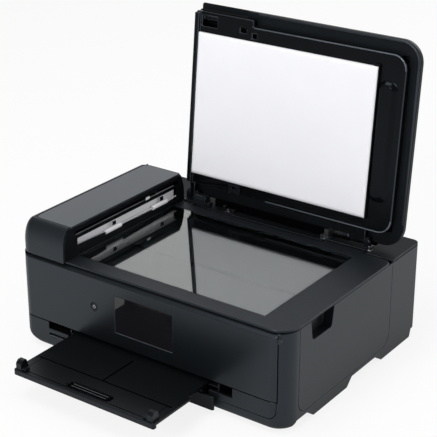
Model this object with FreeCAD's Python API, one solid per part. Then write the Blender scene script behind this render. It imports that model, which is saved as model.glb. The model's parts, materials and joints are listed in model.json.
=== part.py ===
import FreeCAD, Part
import math
import os

V = FreeCAD.Vector

# Everything is measured from the front face (y), the middle (x) and the floor (z), in millimetres.
# An inset counts inwards from the nearest outer side of the body, a rise or drop from what carries the piece.

# Clearances shared by the whole printer
seam = 0.6
slide_gap = 0.4
running_fit = 0.08

# How far a cutter, or a block joined to another, reaches past the face it meets
bite = 1.0

# Lower case
body_width = 438.0
body_depth = 341.0
case_height = 130.0
case_wall = 2.5
foot_drop = 10.0
front_left_round = 15.0
front_right_round = 27.0
rear_round = 11.0
bottom_round = 3.0
chin_drop = 5.7
chin_depth = 27.0
chin_slope = 9.0
chin_round = 6.0
front_zone = 10.5
foot_block_width = 63.0
foot_block_slope = 17.0
foot_block_heel = 12.0
foot_block_round = 3.0
front_foot_start = 50.0
front_foot_end = 163.0
rear_foot_start_inset = 115.0
rear_foot_end_inset = 14.0
rubber_foot_height = 1.0
rubber_foot_radius = 8.0
rubber_foot_recess = 1.0
foot_spread_inset = 37.0
foot_front_y = 105.0
foot_rear_inset = 49.0

# Side covers
side_cover_start = 29.5
side_cover_end_inset = 79.0
side_cover_rise = 6.8
side_cover_round = 19.0
side_cover_lip = 2.2
side_cover_overlap = 2.0
notch_start = 54.4
notch_end = 110.0
notch_taper = 5.0
notch_depth = 28.5
notch_round = 6.0
notch_pocket = 10.0
notch_wall = 1.6
side_flange_rise = 8.0

# Front: operation panel, lower cover, card slot
panel_right_inset = 15.7
panel_bottom = 45.3
panel_skin = 3.0
panel_wrap = 20.0
panel_bevel_depth = 7.6
panel_bevel_height = 6.0
panel_hinge_y = 7.0
panel_hinge_drop = 9.0
panel_pin_radius = 2.0
panel_lug_width = 4.0
panel_lug_inset = 8.0
panel_pin_wall = 1.6
panel_swing_gap = 1.5
panel_gap = 1.3
panel_heel = 1.6
screen_left = -52.7
screen_width = 96.4
screen_bottom_drop = 76.4
screen_height = 54.8
screen_recess = 0.5
screen_glass = 2.0
screen_module_depth = 6.0
screen_module_margin = 3.5
button_x = -88.1
button_drop = 48.2
button_radius = 5.5
button_flange = 1.6
cover_right_inset = 16.3
cover_floor_rise = 8.5
cover_round = 12.0
cover_notch_right_inset = 81.1
cover_notch_drop = 14.0
slot_left_inset = 46.0
slot_width = 31.0
slot_bottom = 22.4
slot_height = 5.0
slot_depth = 14.0
slot_wall = 3.0
opening_step = 33.7

# Paper opening, output tray and cassette
opening_left_inset = 81.0
opening_right_inset = 118.5
tray_left_inset = 91.7
tray_right_inset = 113.9
tray_neck_right_inset = 120.0
tray_neck_y = -42.0
tray_reach = 119.0
tray_tail = 10.0
tray_top = 40.0
tray_thickness = 4.0
tray_lip_depth = 6.0
tray_lip_height = 8.5
tray_line_y = -75.5
tray_groove_x = -13.0
tray_groove_width = 3.0
tray_groove_depth = 1.0
ear_width = 9.0
ear_depth = 15.0
ear_height = 13.0
ear_inset = 3.3
ear_setback = 2.0
ear_shoulder = 4.0
ear_round = 3.0
support_thickness = 2.4
support_hinge_back = 4.5
support_hinge_rise = 2.0
support_pin_radius = 1.4
support_arm = 6.5
grip_left = -46.0
grip_right = 28.0
grip_depth = 1.4
grip_width = 15.0
rail_shelf = 2.1
rail_web = 2.5
rail_length = 120.0
rail_overlap = 8.0
rail_right_inset = 107.0
cassette_left_inset = 97.0
cassette_right_inset = 123.0
cassette_reach = 10.0
cassette_length = 304.0
cassette_wall = 2.5
cassette_floor = 2.0
cassette_height = 17.0
fascia_thickness = 4.0
fascia_margin = 19.0
fascia_bottom = 8.0
fascia_top = 28.0
fascia_round = 6.0
guide_thickness = 2.5
guide_length = 60.0
guide_y = 120.0
guide_height = 13.5
paper_margin = 242.0
paper_middle = -13.0

# Scanner unit: platen frame, tub, glass
platen_front = 3.0
platen_rear_inset = 81.8
platen_thickness = 3.0
platen_rear_round = 12.0
platen_left_round = 8.0
glass_left_inset = 81.8
glass_right_inset = 51.0
glass_front = 28.5
glass_rear_inset = 100.0
glass_ledge = 3.2
glass_thickness = 1.8
tub_side_inset = 19.0
tub_front = 24.0
tub_rear_inset = 86.0
tub_depth = 22.6
tub_wall = 2.2
window_left_inset = 51.0
window_right_inset = 73.0
lift_axis_inset = 45.0
lift_axis_drop = 5.0
lift_pin_radius = 3.0
lift_arm_radius = 5.2
lift_arm_width = 5.0
right_tongue_left_inset = 110.0
right_tongue_right_inset = 46.0
left_tongue_left_inset = 76.0
left_tongue_right_inset = 103.0
tongue_rear_inset = 50.0
rear_plate_start_inset = 78.5
pocket_rear_inset = 37.0
pocket_margin = 2.5

# Rear tray
rear_opening_left_inset = 110.0
rear_opening_right_inset = 117.0
rear_cover_front_inset = 29.4
rear_cover_margin = 2.0
rear_cover_axis_inset = 3.0
rear_cover_barrel = 1.7
rear_cover_skin = 2.0
rear_pin_radius = 1.0
rear_pin_length = 3.0

# Document feeder
feeder_right_inset = 81.3
feeder_wall = 2.5
feeder_inner = 2.0
feeder_height = 48.6
feeder_rear_inset = 71.0
feeder_round = 15.0
feeder_corner_round = 18.0
lid_plate_left_inset = 16.0
lid_plate_front = 16.0
lid_plate_rear_inset = 83.0
lid_plate_round = 10.0
lid_plate_skin = 3.0
lid_plate_ledge = 2.5
lid_plate_pin = 1.2
lid_plate_margin = 4.0
exit_slot_front = 28.0
exit_slot_rear_inset = 91.0
exit_slot_bottom_rise = 7.4
exit_slot_top_rise = 25.4
input_slot_bottom_rise = 29.9
input_slot_top_rise = 36.4
input_slot_margin = 4.0
strip_thickness = 1.0
exit_roller_inset = 78.2
exit_roller_rise = 11.8
exit_roller_radius = 3.6
exit_shaft_radius = 0.8
exit_roller_length = 34.0
exit_roller_shares = (0.2703, 0.7477)

# Lid, modelled closed and then turned open about its hinge
lid_axis_inset = 62.1
lid_axis_rise = 10.25
lid_open = 95.6
lid_left_inset = 81.9
lid_front = -4.0
lid_rear_inset = 60.0
lid_round = 30.0
lid_small_round = 3.0
lid_slab = 9.0
lid_skin = 2.5
lid_rim_rise = 15.4
inner_left_inset = 82.2
inner_right_inset = 15.0
inner_front = 15.0
inner_rear_inset = 79.0
inner_round = 20.0
inner_plate = 2.5
inner_wall = 2.5
block_right_inset = 181.0
block_front = 5.5
pad_left_inset = 90.3
pad_right_inset = 54.6
pad_front = 35.0
pad_rear_inset = 96.0
pad_lift = 0.8
pad_sheet = 0.8
pad_foam = 4.0
bump_left_inset = 52.5
bump_right_inset = 23.5
bump_front = 51.0
bump_rear_inset = 121.0
bump_height = 4.2
bump_round = 12.0
bump_fillet = 4.0
rib_clearance = 0.4
lid_holes = ((11.3, 25.5, 11.0, 15.0), (77.3, 10.0, 18.5, 7.0), (97.8, 7.0, 24.0, 7.0))
lid_hole_depth = 4.5
hinge_pin_radius = 2.5
hinge_ear_radius = 6.5
hinge_ear_width = 5.0
hinge_lug_radius = 6.0
hinge_base = 2.4
right_hinge_left_inset = 109.0
right_hinge_right_inset = 47.0
left_hinge_left_inset = 82.0
left_hinge_right_inset = 101.5
doc_tray_left_inset = 91.0
doc_tray_right_inset = 27.0
doc_tray_front = 18.0
doc_tray_rear_inset = 68.0
doc_tray_thickness = 5.0
doc_rail_height = 6.6
doc_axis_inset = 98.0
doc_pin_radius = 2.0
doc_post_width = 10.0
doc_post_depth = 5.0

# Scan carriage
sensor_inset = 62.0
sensor_width = 20.0
sensor_front = 30.0
sensor_rear_inset = 98.0
sensor_holder = 6.0
sensor_bar = 8.0

# Printing mechanism
left_plate_inset = 35.0
right_plate_inset = 25.0
plate_gauge = 2.0
plate_front_inset = 275.0
plate_rear_inset = 79.0
plate_top_drop = 3.0
feed_inset = 176.0
feed_z = 58.0
feed_radius = 7.0
feed_shaft = 4.0
exit_inset = 263.0
exit_z = 52.0
exit_radius = 6.5
exit_shaft = 3.0
exit_wheel_count = 6
exit_wheel_width = 10.0
gear_module = 1.5
feed_teeth = 28
idler_teeth = 34
exit_teeth = 20
pinion_teeth = 14
gear_width = 8.0
gear_gap = 5.0
gear_backlash = 0.3
gear_spread = 0.1
pinion_angle = -40.0
idler_stud = 3.0
motor_radius = 16.0
motor_length = 30.0
motor_shaft = 1.6
platen_bar_front_inset = 253.0
platen_bar_rear_inset = 191.0
platen_bar_bottom = 46.0
platen_bar_thickness = 4.0
platen_rib_count = 12
platen_rib_height = 1.5
rail_inset = 165.0
rail_bottom_drop = 39.0
rail_top_drop = 5.0
rail_flange = 14.0
carriage_left_inset = 141.0
carriage_width = 108.0
carriage_front_inset = 249.0
carriage_rear_inset = 187.0
carriage_bottom = 61.0
carriage_top_drop = 9.0
carriage_wall = 2.5
tank_count = 6
tank_gap = 2.0
tank_shortfall = 7.0
head_height = 2.4
head_margin = 20.0
service_left_inset = 109.0
service_right_inset = 29.0
service_height = 8.0
rear_bed_top_inset = 16.0
rear_bed_top_drop = 2.0
rear_bed_low_inset = 106.0
rear_bed_low_z = 62.0
rear_bed_thickness = 3.0
rear_bed_margin = 14.0
rear_bed_bar = 6.0
pick_radius = 14.0
pick_width = 26.0
pick_along = 90.0
pick_shaft = 3.0
rear_guide_start = 27.0
rear_guide_length = 38.0
rear_guide_height = 13.0
rear_guide_thickness = 3.0
board_gap = 3.0
board_thickness = 1.6
board_front_inset = 251.0
board_rear_inset = 91.0
board_bottom = 30.0
board_drop = 6.0
supply_left_inset = 41.0
supply_right_inset = 87.0
supply_front_inset = 68.0
supply_height = 46.0
inlet_inset = 54.0
inlet_width = 26.0
inlet_z = 75.0
inlet_height = 18.0
ports_inset = 64.0
ports_width = 66.0
port_count = 3
screw_radius = 3.4
screw_shank = 1.6
screw_head = 2.2
screw_shares = ((0.594, 0.09), (0.594, 0.6), (0.274, 0.952))

# Small sizes of the case and its covers
rail_root = 0.5
screw_slot = 0.5
rear_rebate_drop = 0.2
rear_skin_relief = 0.5

# Small sizes of the rear paper bed
bed_cut_lead = 10.0
bed_cut_height = 40.0
rear_guide_foot = 1.5
rear_guide_toe = 4.0

# Small sizes of the power button
button_recess = 0.3
button_edge = 0.4
edge_test = 0.01

# Small sizes of the output tray and its support
tray_round = 3.0
tray_neck_round = 2.0
tray_tail_round = 1.0
tray_edge_round = 1.2
support_recess_back = 1.2
support_slack = 0.2
tray_line_margin = 4.0
support_bore_reach = 6.0
support_root = 1.5
barrel_slack = 0.1
support_pin_reach = 5.0
grip_back = 3.0
grip_round = 6.0
grip_rib_count = 2
grip_rib_margin = 8.0
grip_rib_half = 0.8
grip_rib_rise = 0.2
grip_rib_drop = 0.3

# Small sizes of the cassette
cassette_round = 4.0
scoop_half = 35.0
guide_toe = 3.0
guide_foot = 1.2

# Small sizes of the scanner
tongue_root = 5.0
arm_root = 2.0
window_front_gap = 4.0
window_rear_gap = 6.0
tub_round = 8.0
tub_rail_root = 0.5
tub_rail_half = 4.0
tub_rail_height = 4.0
bar_margin = 3.0
bar_end = 2.0
lens_half = 2.0
lens_end = 6.0

# Small sizes of the feeder
feeder_back_rise = 0.8
boss_half = 4.0
boss_length = 6.5
boss_gap = 0.5
boss_rise = 0.1
cover_bore_reach = 5.0
cover_pin_reach = 4.0
exit_bore_reach = 3.0
exit_shaft_reach = 2.5
strip_lip_low = 0.5
strip_lip_high = 2.0

# Small sizes of the lid
shell_edge_round = 2.5
corner_step = 17.0
ear_clearance = 1.5
doc_rail_width = 4.0
doc_rail_back = 8.0
doc_rail_start = 12.0
block_round = 3.0
inner_small_round = 2.0
rib_end = 2.0
lug_drop = 5.3
lug_rise = 3.2
doc_round = 20.0
doc_small_round = 3.0
doc_edge_round = 1.5
doc_pin_root = 2.0
doc_grip_back = 12.0
doc_grip_front = 2.0
doc_grip_half = 30.0
doc_grip_round = 5.0

# Small sizes of the mechanism
stud_reach = 0.5
pressure_angle = 25.0
tooth_tip = 0.9
tooth_root = 1.2
shaft_reach = 6.0
shaft_bore = 7.0
platen_rib = 2.0
platen_rib_front = 8.0
platen_rib_rear = 4.0
service_front = 4.0
service_rear = 2.0
cap_half = 26.0
cap_front = 18.0
cap_rear = 14.0
cap_round = 4.0
cap_wall = 3.0
well_round = 2.0
wiper_inset = 2.0
cap_drop = 0.4
motor_plate = 3.0
motor_gap = 4.0
carriage_floor_share = 1.6
carriage_low_front = 14.0
neck_inset = 10.0
neck_rise = 6.0
hook_wall = 3.0
hook_height = 2.4
riser_drop = 5.0
tail_drop = 10.0
lever_inset = 2.0
lever_length = 9.0
lever_height = 2.0
stud_inset = 8.0
stud_radius = 3.0
chip_count = 4
chip_start = 25.0
chip_pitch = 32.0
chip_size = 18.0
chip_height = 3.0

# Sockets at the rear
socket_flange = 3.0
socket_depth = 12.0
socket_gap = 0.3
socket_set_in = 0.4
port_spacing = 6.0
port_depth = 9.0
port_inset = 3.5

# Places worked out from the sizes above
half = body_width / 2
case_floor = rubber_foot_height + foot_drop
case_top = case_floor + case_height
inner_floor = case_floor + case_wall
side_cover_end = body_depth - side_cover_end_inset
rear_foot_start = body_depth - rear_foot_start_inset
rear_foot_end = body_depth - rear_foot_end_inset
foot_rear_y = body_depth - foot_rear_inset
platen_rear = body_depth - platen_rear_inset
glass_rear = body_depth - glass_rear_inset
tub_rear = body_depth - tub_rear_inset
lift_axis_y = body_depth - lift_axis_inset
tongue_rear = body_depth - tongue_rear_inset
rear_plate_start = body_depth - rear_plate_start_inset
pocket_rear = body_depth - pocket_rear_inset
rear_cover_front = body_depth - rear_cover_front_inset
rear_cover_axis_y = body_depth - rear_cover_axis_inset
feeder_rear = body_depth - feeder_rear_inset
lid_plate_rear = body_depth - lid_plate_rear_inset
exit_slot_rear = body_depth - exit_slot_rear_inset
lid_axis_y = body_depth - lid_axis_inset
lid_rear = body_depth - lid_rear_inset
inner_rear = body_depth - inner_rear_inset
pad_rear = body_depth - pad_rear_inset
bump_rear = body_depth - bump_rear_inset
doc_tray_rear = body_depth - doc_tray_rear_inset
sensor_rear = body_depth - sensor_rear_inset
rear_bed_top_y = body_depth - rear_bed_top_inset
rear_bed_low_y = body_depth - rear_bed_low_inset
plate_front = body_depth - plate_front_inset
plate_rear = body_depth - plate_rear_inset
feed_y = body_depth - feed_inset
exit_y = body_depth - exit_inset
platen_bar_front = body_depth - platen_bar_front_inset
platen_bar_rear = body_depth - platen_bar_rear_inset
rail_y = body_depth - rail_inset
carriage_front = body_depth - carriage_front_inset
carriage_rear = body_depth - carriage_rear_inset
board_front = body_depth - board_front_inset
board_rear = body_depth - board_rear_inset
supply_front = body_depth - supply_front_inset
panel_right = half - panel_right_inset
cover_right = half - cover_right_inset
cover_notch_right = half - cover_notch_right_inset
opening_right = half - opening_right_inset
tray_right = half - tray_right_inset
tray_neck_right = half - tray_neck_right_inset
rail_right_x = half - rail_right_inset
cassette_right = half - cassette_right_inset
glass_right = half - glass_right_inset
tub_side = half - tub_side_inset
right_tongue_left = half - right_tongue_left_inset
right_tongue_right = half - right_tongue_right_inset
rear_opening_right = half - rear_opening_right_inset
inner_right = half - inner_right_inset
pad_right = half - pad_right_inset
bump_left = half - bump_left_inset
bump_right = half - bump_right_inset
right_hinge_left = half - right_hinge_left_inset
right_hinge_right = half - right_hinge_right_inset
doc_tray_right = half - doc_tray_right_inset
right_plate_x = half - right_plate_inset
carriage_left = half - carriage_left_inset
service_left = half - service_left_inset
service_right = half - service_right_inset
ports_x = half - ports_inset
foot_spread = half - foot_spread_inset
slot_left = slot_left_inset - half
opening_left = opening_left_inset - half
tray_left = tray_left_inset - half
cassette_left = cassette_left_inset - half
glass_left = glass_left_inset - half
window_left = window_left_inset - half
window_right = window_right_inset - half
left_tongue_left = left_tongue_left_inset - half
left_tongue_right = left_tongue_right_inset - half
rear_opening_left = rear_opening_left_inset - half
feeder_right = feeder_right_inset - half
lid_plate_left = lid_plate_left_inset - half
exit_roller_x = exit_roller_inset - half
lid_left = lid_left_inset - half
inner_left = inner_left_inset - half
block_right = block_right_inset - half
pad_left = pad_left_inset - half
left_hinge_left = left_hinge_left_inset - half
left_hinge_right = left_hinge_right_inset - half
doc_tray_left = doc_tray_left_inset - half
doc_axis_x = doc_axis_inset - half
sensor_x = sensor_inset - half
left_plate_x = left_plate_inset - half
supply_left = supply_left_inset - half
supply_right = supply_right_inset - half
inlet_x = inlet_inset - half
lid_right = half
paper_width = body_width - paper_margin
platen_bottom = case_top + seam
platen_top = platen_bottom + platen_thickness
tub_bottom = platen_bottom - tub_depth
lift_axis_z = case_top - lift_axis_drop
rear_bed_top_z = case_top - rear_bed_top_drop
screen_bottom = case_top - screen_bottom_drop
button_z = case_top - button_drop
exit_slot_bottom = platen_top + exit_slot_bottom_rise
exit_slot_top = platen_top + exit_slot_top_rise
input_slot_bottom = platen_top + input_slot_bottom_rise
input_slot_top = platen_top + input_slot_top_rise
exit_roller_z = platen_top + exit_roller_rise
lid_axis_z = platen_top + lid_axis_rise
plate_top = tub_bottom - plate_top_drop
rail_top = tub_bottom - rail_top_drop
carriage_top = tub_bottom - carriage_top_drop
rail_bottom = tub_bottom - rail_bottom_drop
tank_height = carriage_top - carriage_bottom - tank_shortfall
board_height = plate_top - board_bottom - board_drop
glass_bottom = platen_top - 0.2 - glass_thickness
feeder_top = platen_bottom + feeder_height
pad_plane = platen_top + seam
inner_face = pad_plane + pad_sheet + pad_foam
rim_face = pad_plane + lid_rim_rise - seam
lid_top = rim_face + lid_slab
doc_bottom = lid_top + doc_rail_height + slide_gap
doc_axis_z = doc_bottom + doc_tray_thickness / 2
panel_top = case_top
panel_hinge_z = panel_top - panel_hinge_drop
cover_bottom = case_floor + cover_floor_rise
cassette_bottom = inner_floor + slide_gap
gear_right = left_plate_x - gear_gap
gear_left = gear_right - gear_width
front_y = -(body_depth - tray_reach) / 2


def block(x0, x1, y0, y1, z0, z1):
    return Part.makeBox(x1 - x0, y1 - y0, z1 - z0, V(x0, y0, z0))


def rod_x(x0, x1, y, z, radius):
    return Part.makeCylinder(radius, x1 - x0, V(x0, y, z), V(1, 0, 0))


def rod_y(y0, y1, x, z, radius):
    return Part.makeCylinder(radius, y1 - y0, V(x, y0, z), V(0, 1, 0))


def rod_z(z0, z1, x, y, radius):
    return Part.makeCylinder(radius, z1 - z0, V(x, y, z0), V(0, 0, 1))


# A face whose corners (a, b, radius) are rounded by arcs; place puts a flat point into space
def rounded(corners, place):
    count = len(corners)
    points = [V(a, b, 0) for a, b, radius in corners]
    ends = []
    for i, (a, b, radius) in enumerate(corners):
        here = points[i]
        back = points[i - 1] - here
        ahead = points[(i + 1) % count] - here
        back.normalize()
        ahead.normalize()
        if radius <= 0:
            ends.append((here, here, None))
            continue
        turn = back.getAngle(ahead) / 2
        middle = back + ahead
        middle.normalize()
        reach = radius / math.tan(turn)
        crown = here + middle * (radius / math.sin(turn) - radius)
        ends.append((here + back * reach, here + ahead * reach, crown))
    edges = []
    for i in range(count):
        start, stop, crown = ends[i]
        if crown is not None:
            edges.append(Part.Arc(place(start), place(crown), place(stop)).toShape())
        after = ends[(i + 1) % count][0]
        if (after - stop).Length > 1e-6:
            edges.append(Part.makeLine(place(stop), place(after)))
    return Part.Face(Part.Wire(edges))


# Corner list of a rectangle, with one radius or four (in order round the rectangle)
def rectangle(a0, a1, b0, b1, radius=0.0):
    radii = radius if isinstance(radius, tuple) else (radius,) * 4
    return [(a0, b0, radii[0]), (a1, b0, radii[1]), (a1, b1, radii[2]), (a0, b1, radii[3])]


def plan(corners, z0, z1):
    return rounded(corners, lambda p: V(p.x, p.y, z0)).extrude(V(0, 0, z1 - z0))


def side(corners, x0, x1):
    return rounded(corners, lambda p: V(x0, p.x, p.y)).extrude(V(x1 - x0, 0, 0))


def front(corners, y0, y1):
    return rounded(corners, lambda p: V(p.x, y0, p.y)).extrude(V(0, y1 - y0, 0))


def fused(first, *others):
    return first.fuse(list(others)).removeSplitter()


def edges_at_height(shape, z):
    return [e for e in shape.Edges if abs(e.BoundBox.ZMin - z) < 1e-4 and abs(e.BoundBox.ZMax - z) < 1e-4]


def mirrored(shape):
    return shape.mirror(V(0, 0, 0), V(1, 0, 0))


def save(node, shape):
    placed = shape.copy()
    placed.translate(V(0, front_y, 0))
    placed.exportStep(os.path.join("parts", node + ".step"))


# Outline of the lower case, drawn in by inset
def case_plan(inset):
    radii = (front_left_round - inset, front_right_round - inset, rear_round - inset, rear_round - inset)
    return rectangle(inset - half, half - inset, inset, body_depth - inset, radii)


# Window in the case side, or the cover that fills it when drawn in
def side_window(inset, x0, x1):
    low = case_floor + side_cover_rise + inset
    corners = rectangle(side_cover_start + inset, side_cover_end - inset, low, case_top + bite,
                        (side_cover_round, side_cover_round, 0, 0))
    return side(corners, x0, x1)


def foot_block(start, end, heel):
    low = rubber_foot_height
    high = case_floor + bottom_round
    turn = foot_block_round
    corners = [(start, high, 0), (start + foot_block_slope, low, turn), (end - heel, low, turn),
               (end, high, 0)]
    return side(corners, half - foot_block_width, half)


# Lower edge along the front, hollow underneath, that rises to the case floor behind it
def front_chin():
    low = case_floor - chin_drop
    high = case_floor + bottom_round
    zone = side([(0, low, 0), (chin_depth - chin_slope, low, 0), (chin_depth, high, 0), (0, high, 0)],
                -half, half)
    form = plan(case_plan(0), low, high)
    form = form.makeFillet(chin_round, edges_at_height(form, low))
    pocket = plan(case_plan(chin_round), low - bite, case_floor)
    inner = chin_depth - chin_slope - case_wall
    return form.common(zone).cut(pocket.common(block(-half, half, 0, inner, low - bite, case_floor)))


# Shelf on a web that the output tray slides on
def tray_rail(web_left, shelf_left, shelf_right):
    shelf_top = tray_top - tray_thickness - slide_gap
    web = block(web_left, web_left + rail_web, case_wall * 2, rail_length, inner_floor - rail_root,
                tray_top)
    shelf = block(shelf_left, shelf_right, case_wall * 2, rail_length, shelf_top - rail_shelf, shelf_top)
    return fused(web, shelf)


# Bracket on the rear wall that holds one pin of the scanner hinge
def lift_bracket(x0, x1):
    front_end = lift_axis_y - lift_arm_radius
    base = block(x0, x1, front_end, body_depth - case_wall / 2, lift_axis_z - lift_arm_radius * 2,
                 case_top - seam)
    return base.cut(rod_x(x0 - bite, x1 + bite, lift_axis_y, lift_axis_z, lift_pin_radius))


# Bosses that hold the two pins of the operation panel
def panel_bosses():
    grip = panel_pin_radius + panel_pin_wall
    right = block(panel_right + seam, panel_right + seam + panel_lug_width, case_wall / 2,
                  panel_hinge_y + grip,
                  panel_hinge_z - grip, panel_hinge_z + grip)
    arm_left = panel_arm_left()
    arm_right = arm_left + panel_lug_width
    rear = side_cover_start - side_cover_overlap - seam
    tip = rod_x(arm_left, arm_right, panel_hinge_y, panel_hinge_z, grip)
    arm = block(arm_left, arm_right, panel_hinge_y, rear, panel_hinge_z - grip, panel_hinge_z + grip)
    root = block(-half + case_wall / 2, arm_right, panel_wrap + case_wall + panel_swing_gap, rear,
                 panel_hinge_z - grip, panel_hinge_z + grip)
    return right, tip, arm, root


def panel_arm_left():
    return -half + case_wall + panel_lug_inset


# Outline of the window for the lower front cover, or of the cover itself when drawn in
def cover_outline(inset):
    return rectangle(opening_right + inset, cover_right + seam - inset, cover_bottom + inset,
                     panel_bottom - panel_gap,
                     (0, cover_round, 0, 0))


def outer_case():
    outer = plan(case_plan(0), case_floor, case_top)
    outer = outer.makeFillet(bottom_round, edges_at_height(outer, case_floor))
    blocks = [foot_block(front_foot_start, front_foot_end, foot_block_heel),
              foot_block(rear_foot_start, rear_foot_end, foot_block_round)]
    blocks += [mirrored(b) for b in blocks]
    inside = plan(case_plan(case_wall), inner_floor, case_top + bite)
    low = panel_bottom - panel_gap
    slit = rectangle(slot_left, slot_left + slot_width, slot_bottom, slot_bottom + slot_height,
                     slot_height / 2 - slide_gap / 2)
    windows = [block(-half - bite, panel_right + panel_gap, -bite, panel_wrap + case_wall + seam, low,
                     case_top + bite),
               front(cover_outline(0), -bite, front_zone),
               block(opening_left, opening_right + bite, -bite, front_zone, inner_floor, low + bite),
               block(slot_left, opening_left + bite, -bite, front_zone, opening_step, low + bite),
               front(slit, -bite, case_wall + bite),
               side_window(0, half - case_wall - bite, half + bite),
               side_window(0, -half - bite, -half + case_wall + bite)]
    rear_wall = body_depth - case_wall
    low_port = inlet_z - inlet_height / 2
    for middle, width in ((inlet_x, inlet_width), (ports_x, ports_width)):
        windows.append(block(middle - width / 2, middle + width / 2, rear_wall - bite, body_depth + bite,
                             low_port, low_port + inlet_height))
    shell = fused(outer, front_chin(), *blocks).cut(inside).cut(windows)
    brackets = [lift_bracket(right_tongue_right - seam, right_tongue_right + lift_arm_width),
                lift_bracket(left_tongue_left - lift_arm_width, left_tongue_left + seam)]
    rails = [tray_rail(rail_right_x, tray_neck_right - rail_overlap, rail_right_x + rail_web),
             tray_rail(opening_left, opening_left, tray_left + rail_overlap)]
    body = fused(shell, *brackets, *rails, *panel_bosses())
    holes = [rod_x(panel_right, panel_right + seam + panel_lug_width, panel_hinge_y, panel_hinge_z,
                   panel_pin_radius),
             rod_x(panel_arm_left(), panel_arm_left() + panel_lug_width, panel_hinge_y, panel_hinge_z,
                   panel_pin_radius)]
    for x, y in screw_sites():
        holes.append(rod_z(case_floor - bite, inner_floor + bite, x, y, screw_shank))
    for x, y in foot_sites():
        holes.append(rod_z(0, rubber_foot_height + rubber_foot_recess, x, y, rubber_foot_radius))
    return body.cut(holes)


def foot_sites():
    return [(sx * foot_spread, y) for sx in (-1, 1) for y in (foot_front_y, foot_rear_y)]


def screw_sites():
    return [(sx * half * x, body_depth * y) for sx in (-1, 1) for x, y in screw_shares]


def rubber_feet():
    top = rubber_foot_height + rubber_foot_recess
    return Part.makeCompound([rod_z(0, top, x, y, rubber_foot_radius) for x, y in foot_sites()])


def case_screws():
    screws = []
    for x, y in screw_sites():
        head = rod_z(case_floor - screw_head, case_floor, x, y, screw_radius)
        recess = block(x - screw_radius / 2, x + screw_radius / 2, y - screw_slot, y + screw_slot,
                       case_floor - screw_head, case_floor - screw_head / 2)
        screws.append(fused(head, rod_z(case_floor, inner_floor, x, y, screw_shank)).cut(recess))
    return Part.makeCompound(screws)


# Flush cover with a flange behind the case wall and a notch for the fingers in its top edge
def side_cover():
    inner = half - case_wall
    skin = side_window(seam, inner, half)
    low = inner_floor + side_flange_rise
    flange = block(inner - side_cover_lip, inner, side_cover_start - side_cover_overlap,
                   side_cover_end + side_cover_overlap, low, case_top - seam)
    back = inner - side_cover_lip - notch_pocket
    notch = side(notch_outline(0), back, half + bite)
    pocket = side(notch_outline(notch_wall), back - notch_wall, inner)
    trim = block(back - notch_wall - bite, inner, 0, body_depth, case_top - seam,
                 case_top + notch_wall + bite)
    lid = block(inner - bite, half + bite, 0, body_depth, case_top, case_top + notch_wall + bite)
    return fused(skin, flange, pocket).cut([notch, trim, lid])


# Outline of the finger notch, grown by the wall of the pocket behind it
def notch_outline(grow):
    low = case_top - notch_depth - grow
    high = case_top + notch_wall
    turn = notch_round + grow
    return [(notch_start - grow, high, 0), (notch_start + notch_taper - grow, low, turn),
            (notch_end - notch_taper + grow, low, turn), (notch_end + grow, high, 0)]


# Cover that follows the front right corner, with a flange behind the case wall
def lower_front_cover():
    top = panel_bottom - panel_gap
    zone = front_zone
    rim = plan(case_plan(0), cover_bottom, top).cut(plan(case_plan(case_wall), cover_bottom, top))
    skin = front(cover_outline(seam), -bite, zone).common(rim)
    lining = plan(case_plan(case_wall), cover_bottom, top).cut(plan(case_plan(case_wall * 2), cover_bottom,
                                                                    top))
    flange = block(opening_right + seam, cover_right + seam + side_cover_overlap, 0, zone, cover_bottom,
                   top)
    notch = block(opening_right, cover_notch_right, -bite, zone, top - cover_notch_drop, top + bite)
    return fused(skin, flange.common(lining)).cut(notch)


# Socket behind the card slit
def card_slot():
    right = slot_left + slot_width
    top = slot_bottom + slot_height
    end = case_wall + slot_depth
    body = block(slot_left - slot_wall, right + slot_wall, case_wall, end, slot_bottom - slot_wall,
                 top + slot_wall)
    card = block(slot_left + slide_gap, right - slide_gap, case_wall - bite, end - slot_wall,
                 slot_bottom + slide_gap, top - slide_gap)
    return body.cut(card)


def rear_top_frame():
    plate = plan(rectangle(-half, half, rear_plate_start, body_depth, (0, 0, rear_round, rear_round)),
                 case_top, platen_top)
    pockets = []
    for left, right in ((left_tongue_left, left_tongue_right), (right_tongue_left, right_tongue_right)):
        pockets.append(block(left - pocket_margin, right + pocket_margin, rear_plate_start - bite,
                             pocket_rear,
                             case_top - bite, platen_top + bite))
    opening = block(rear_opening_left, rear_opening_right, rear_cover_front + rear_cover_margin,
                    body_depth + bite, case_top - bite, platen_top + bite)
    left = rear_opening_left - rear_cover_margin - seam
    right = rear_opening_right + rear_cover_margin + seam
    axis_z = rear_cover_axis_z()
    rebate = block(left, right, rear_cover_front - seam, rear_cover_axis_y, axis_z - rear_rebate_drop,
                   platen_top + bite)
    barrel = block(left, right, rear_cover_axis_y - rear_cover_barrel - seam, body_depth + bite, case_top,
                   platen_top + bite)
    pin = rod_x(left - rear_pin_length, right + rear_pin_length, rear_cover_axis_y, axis_z,
                rear_pin_radius + running_fit)
    return plate.cut(pockets + [opening, rebate, barrel, pin])


def rear_cover_axis_z():
    return platen_top - rear_cover_barrel


def rear_tray_cover():
    left = rear_opening_left - rear_cover_margin
    right = rear_opening_right + rear_cover_margin
    axis_z = rear_cover_axis_z()
    skin = block(left, right, rear_cover_front, rear_cover_axis_y,
                 platen_top - rear_cover_skin + rear_skin_relief,
                 platen_top)
    barrel = rod_x(left, right, rear_cover_axis_y, axis_z, rear_cover_barrel)
    pin = rod_x(left - rear_pin_length, right + rear_pin_length, rear_cover_axis_y, axis_z, rear_pin_radius)
    return fused(skin, barrel, pin)


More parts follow.
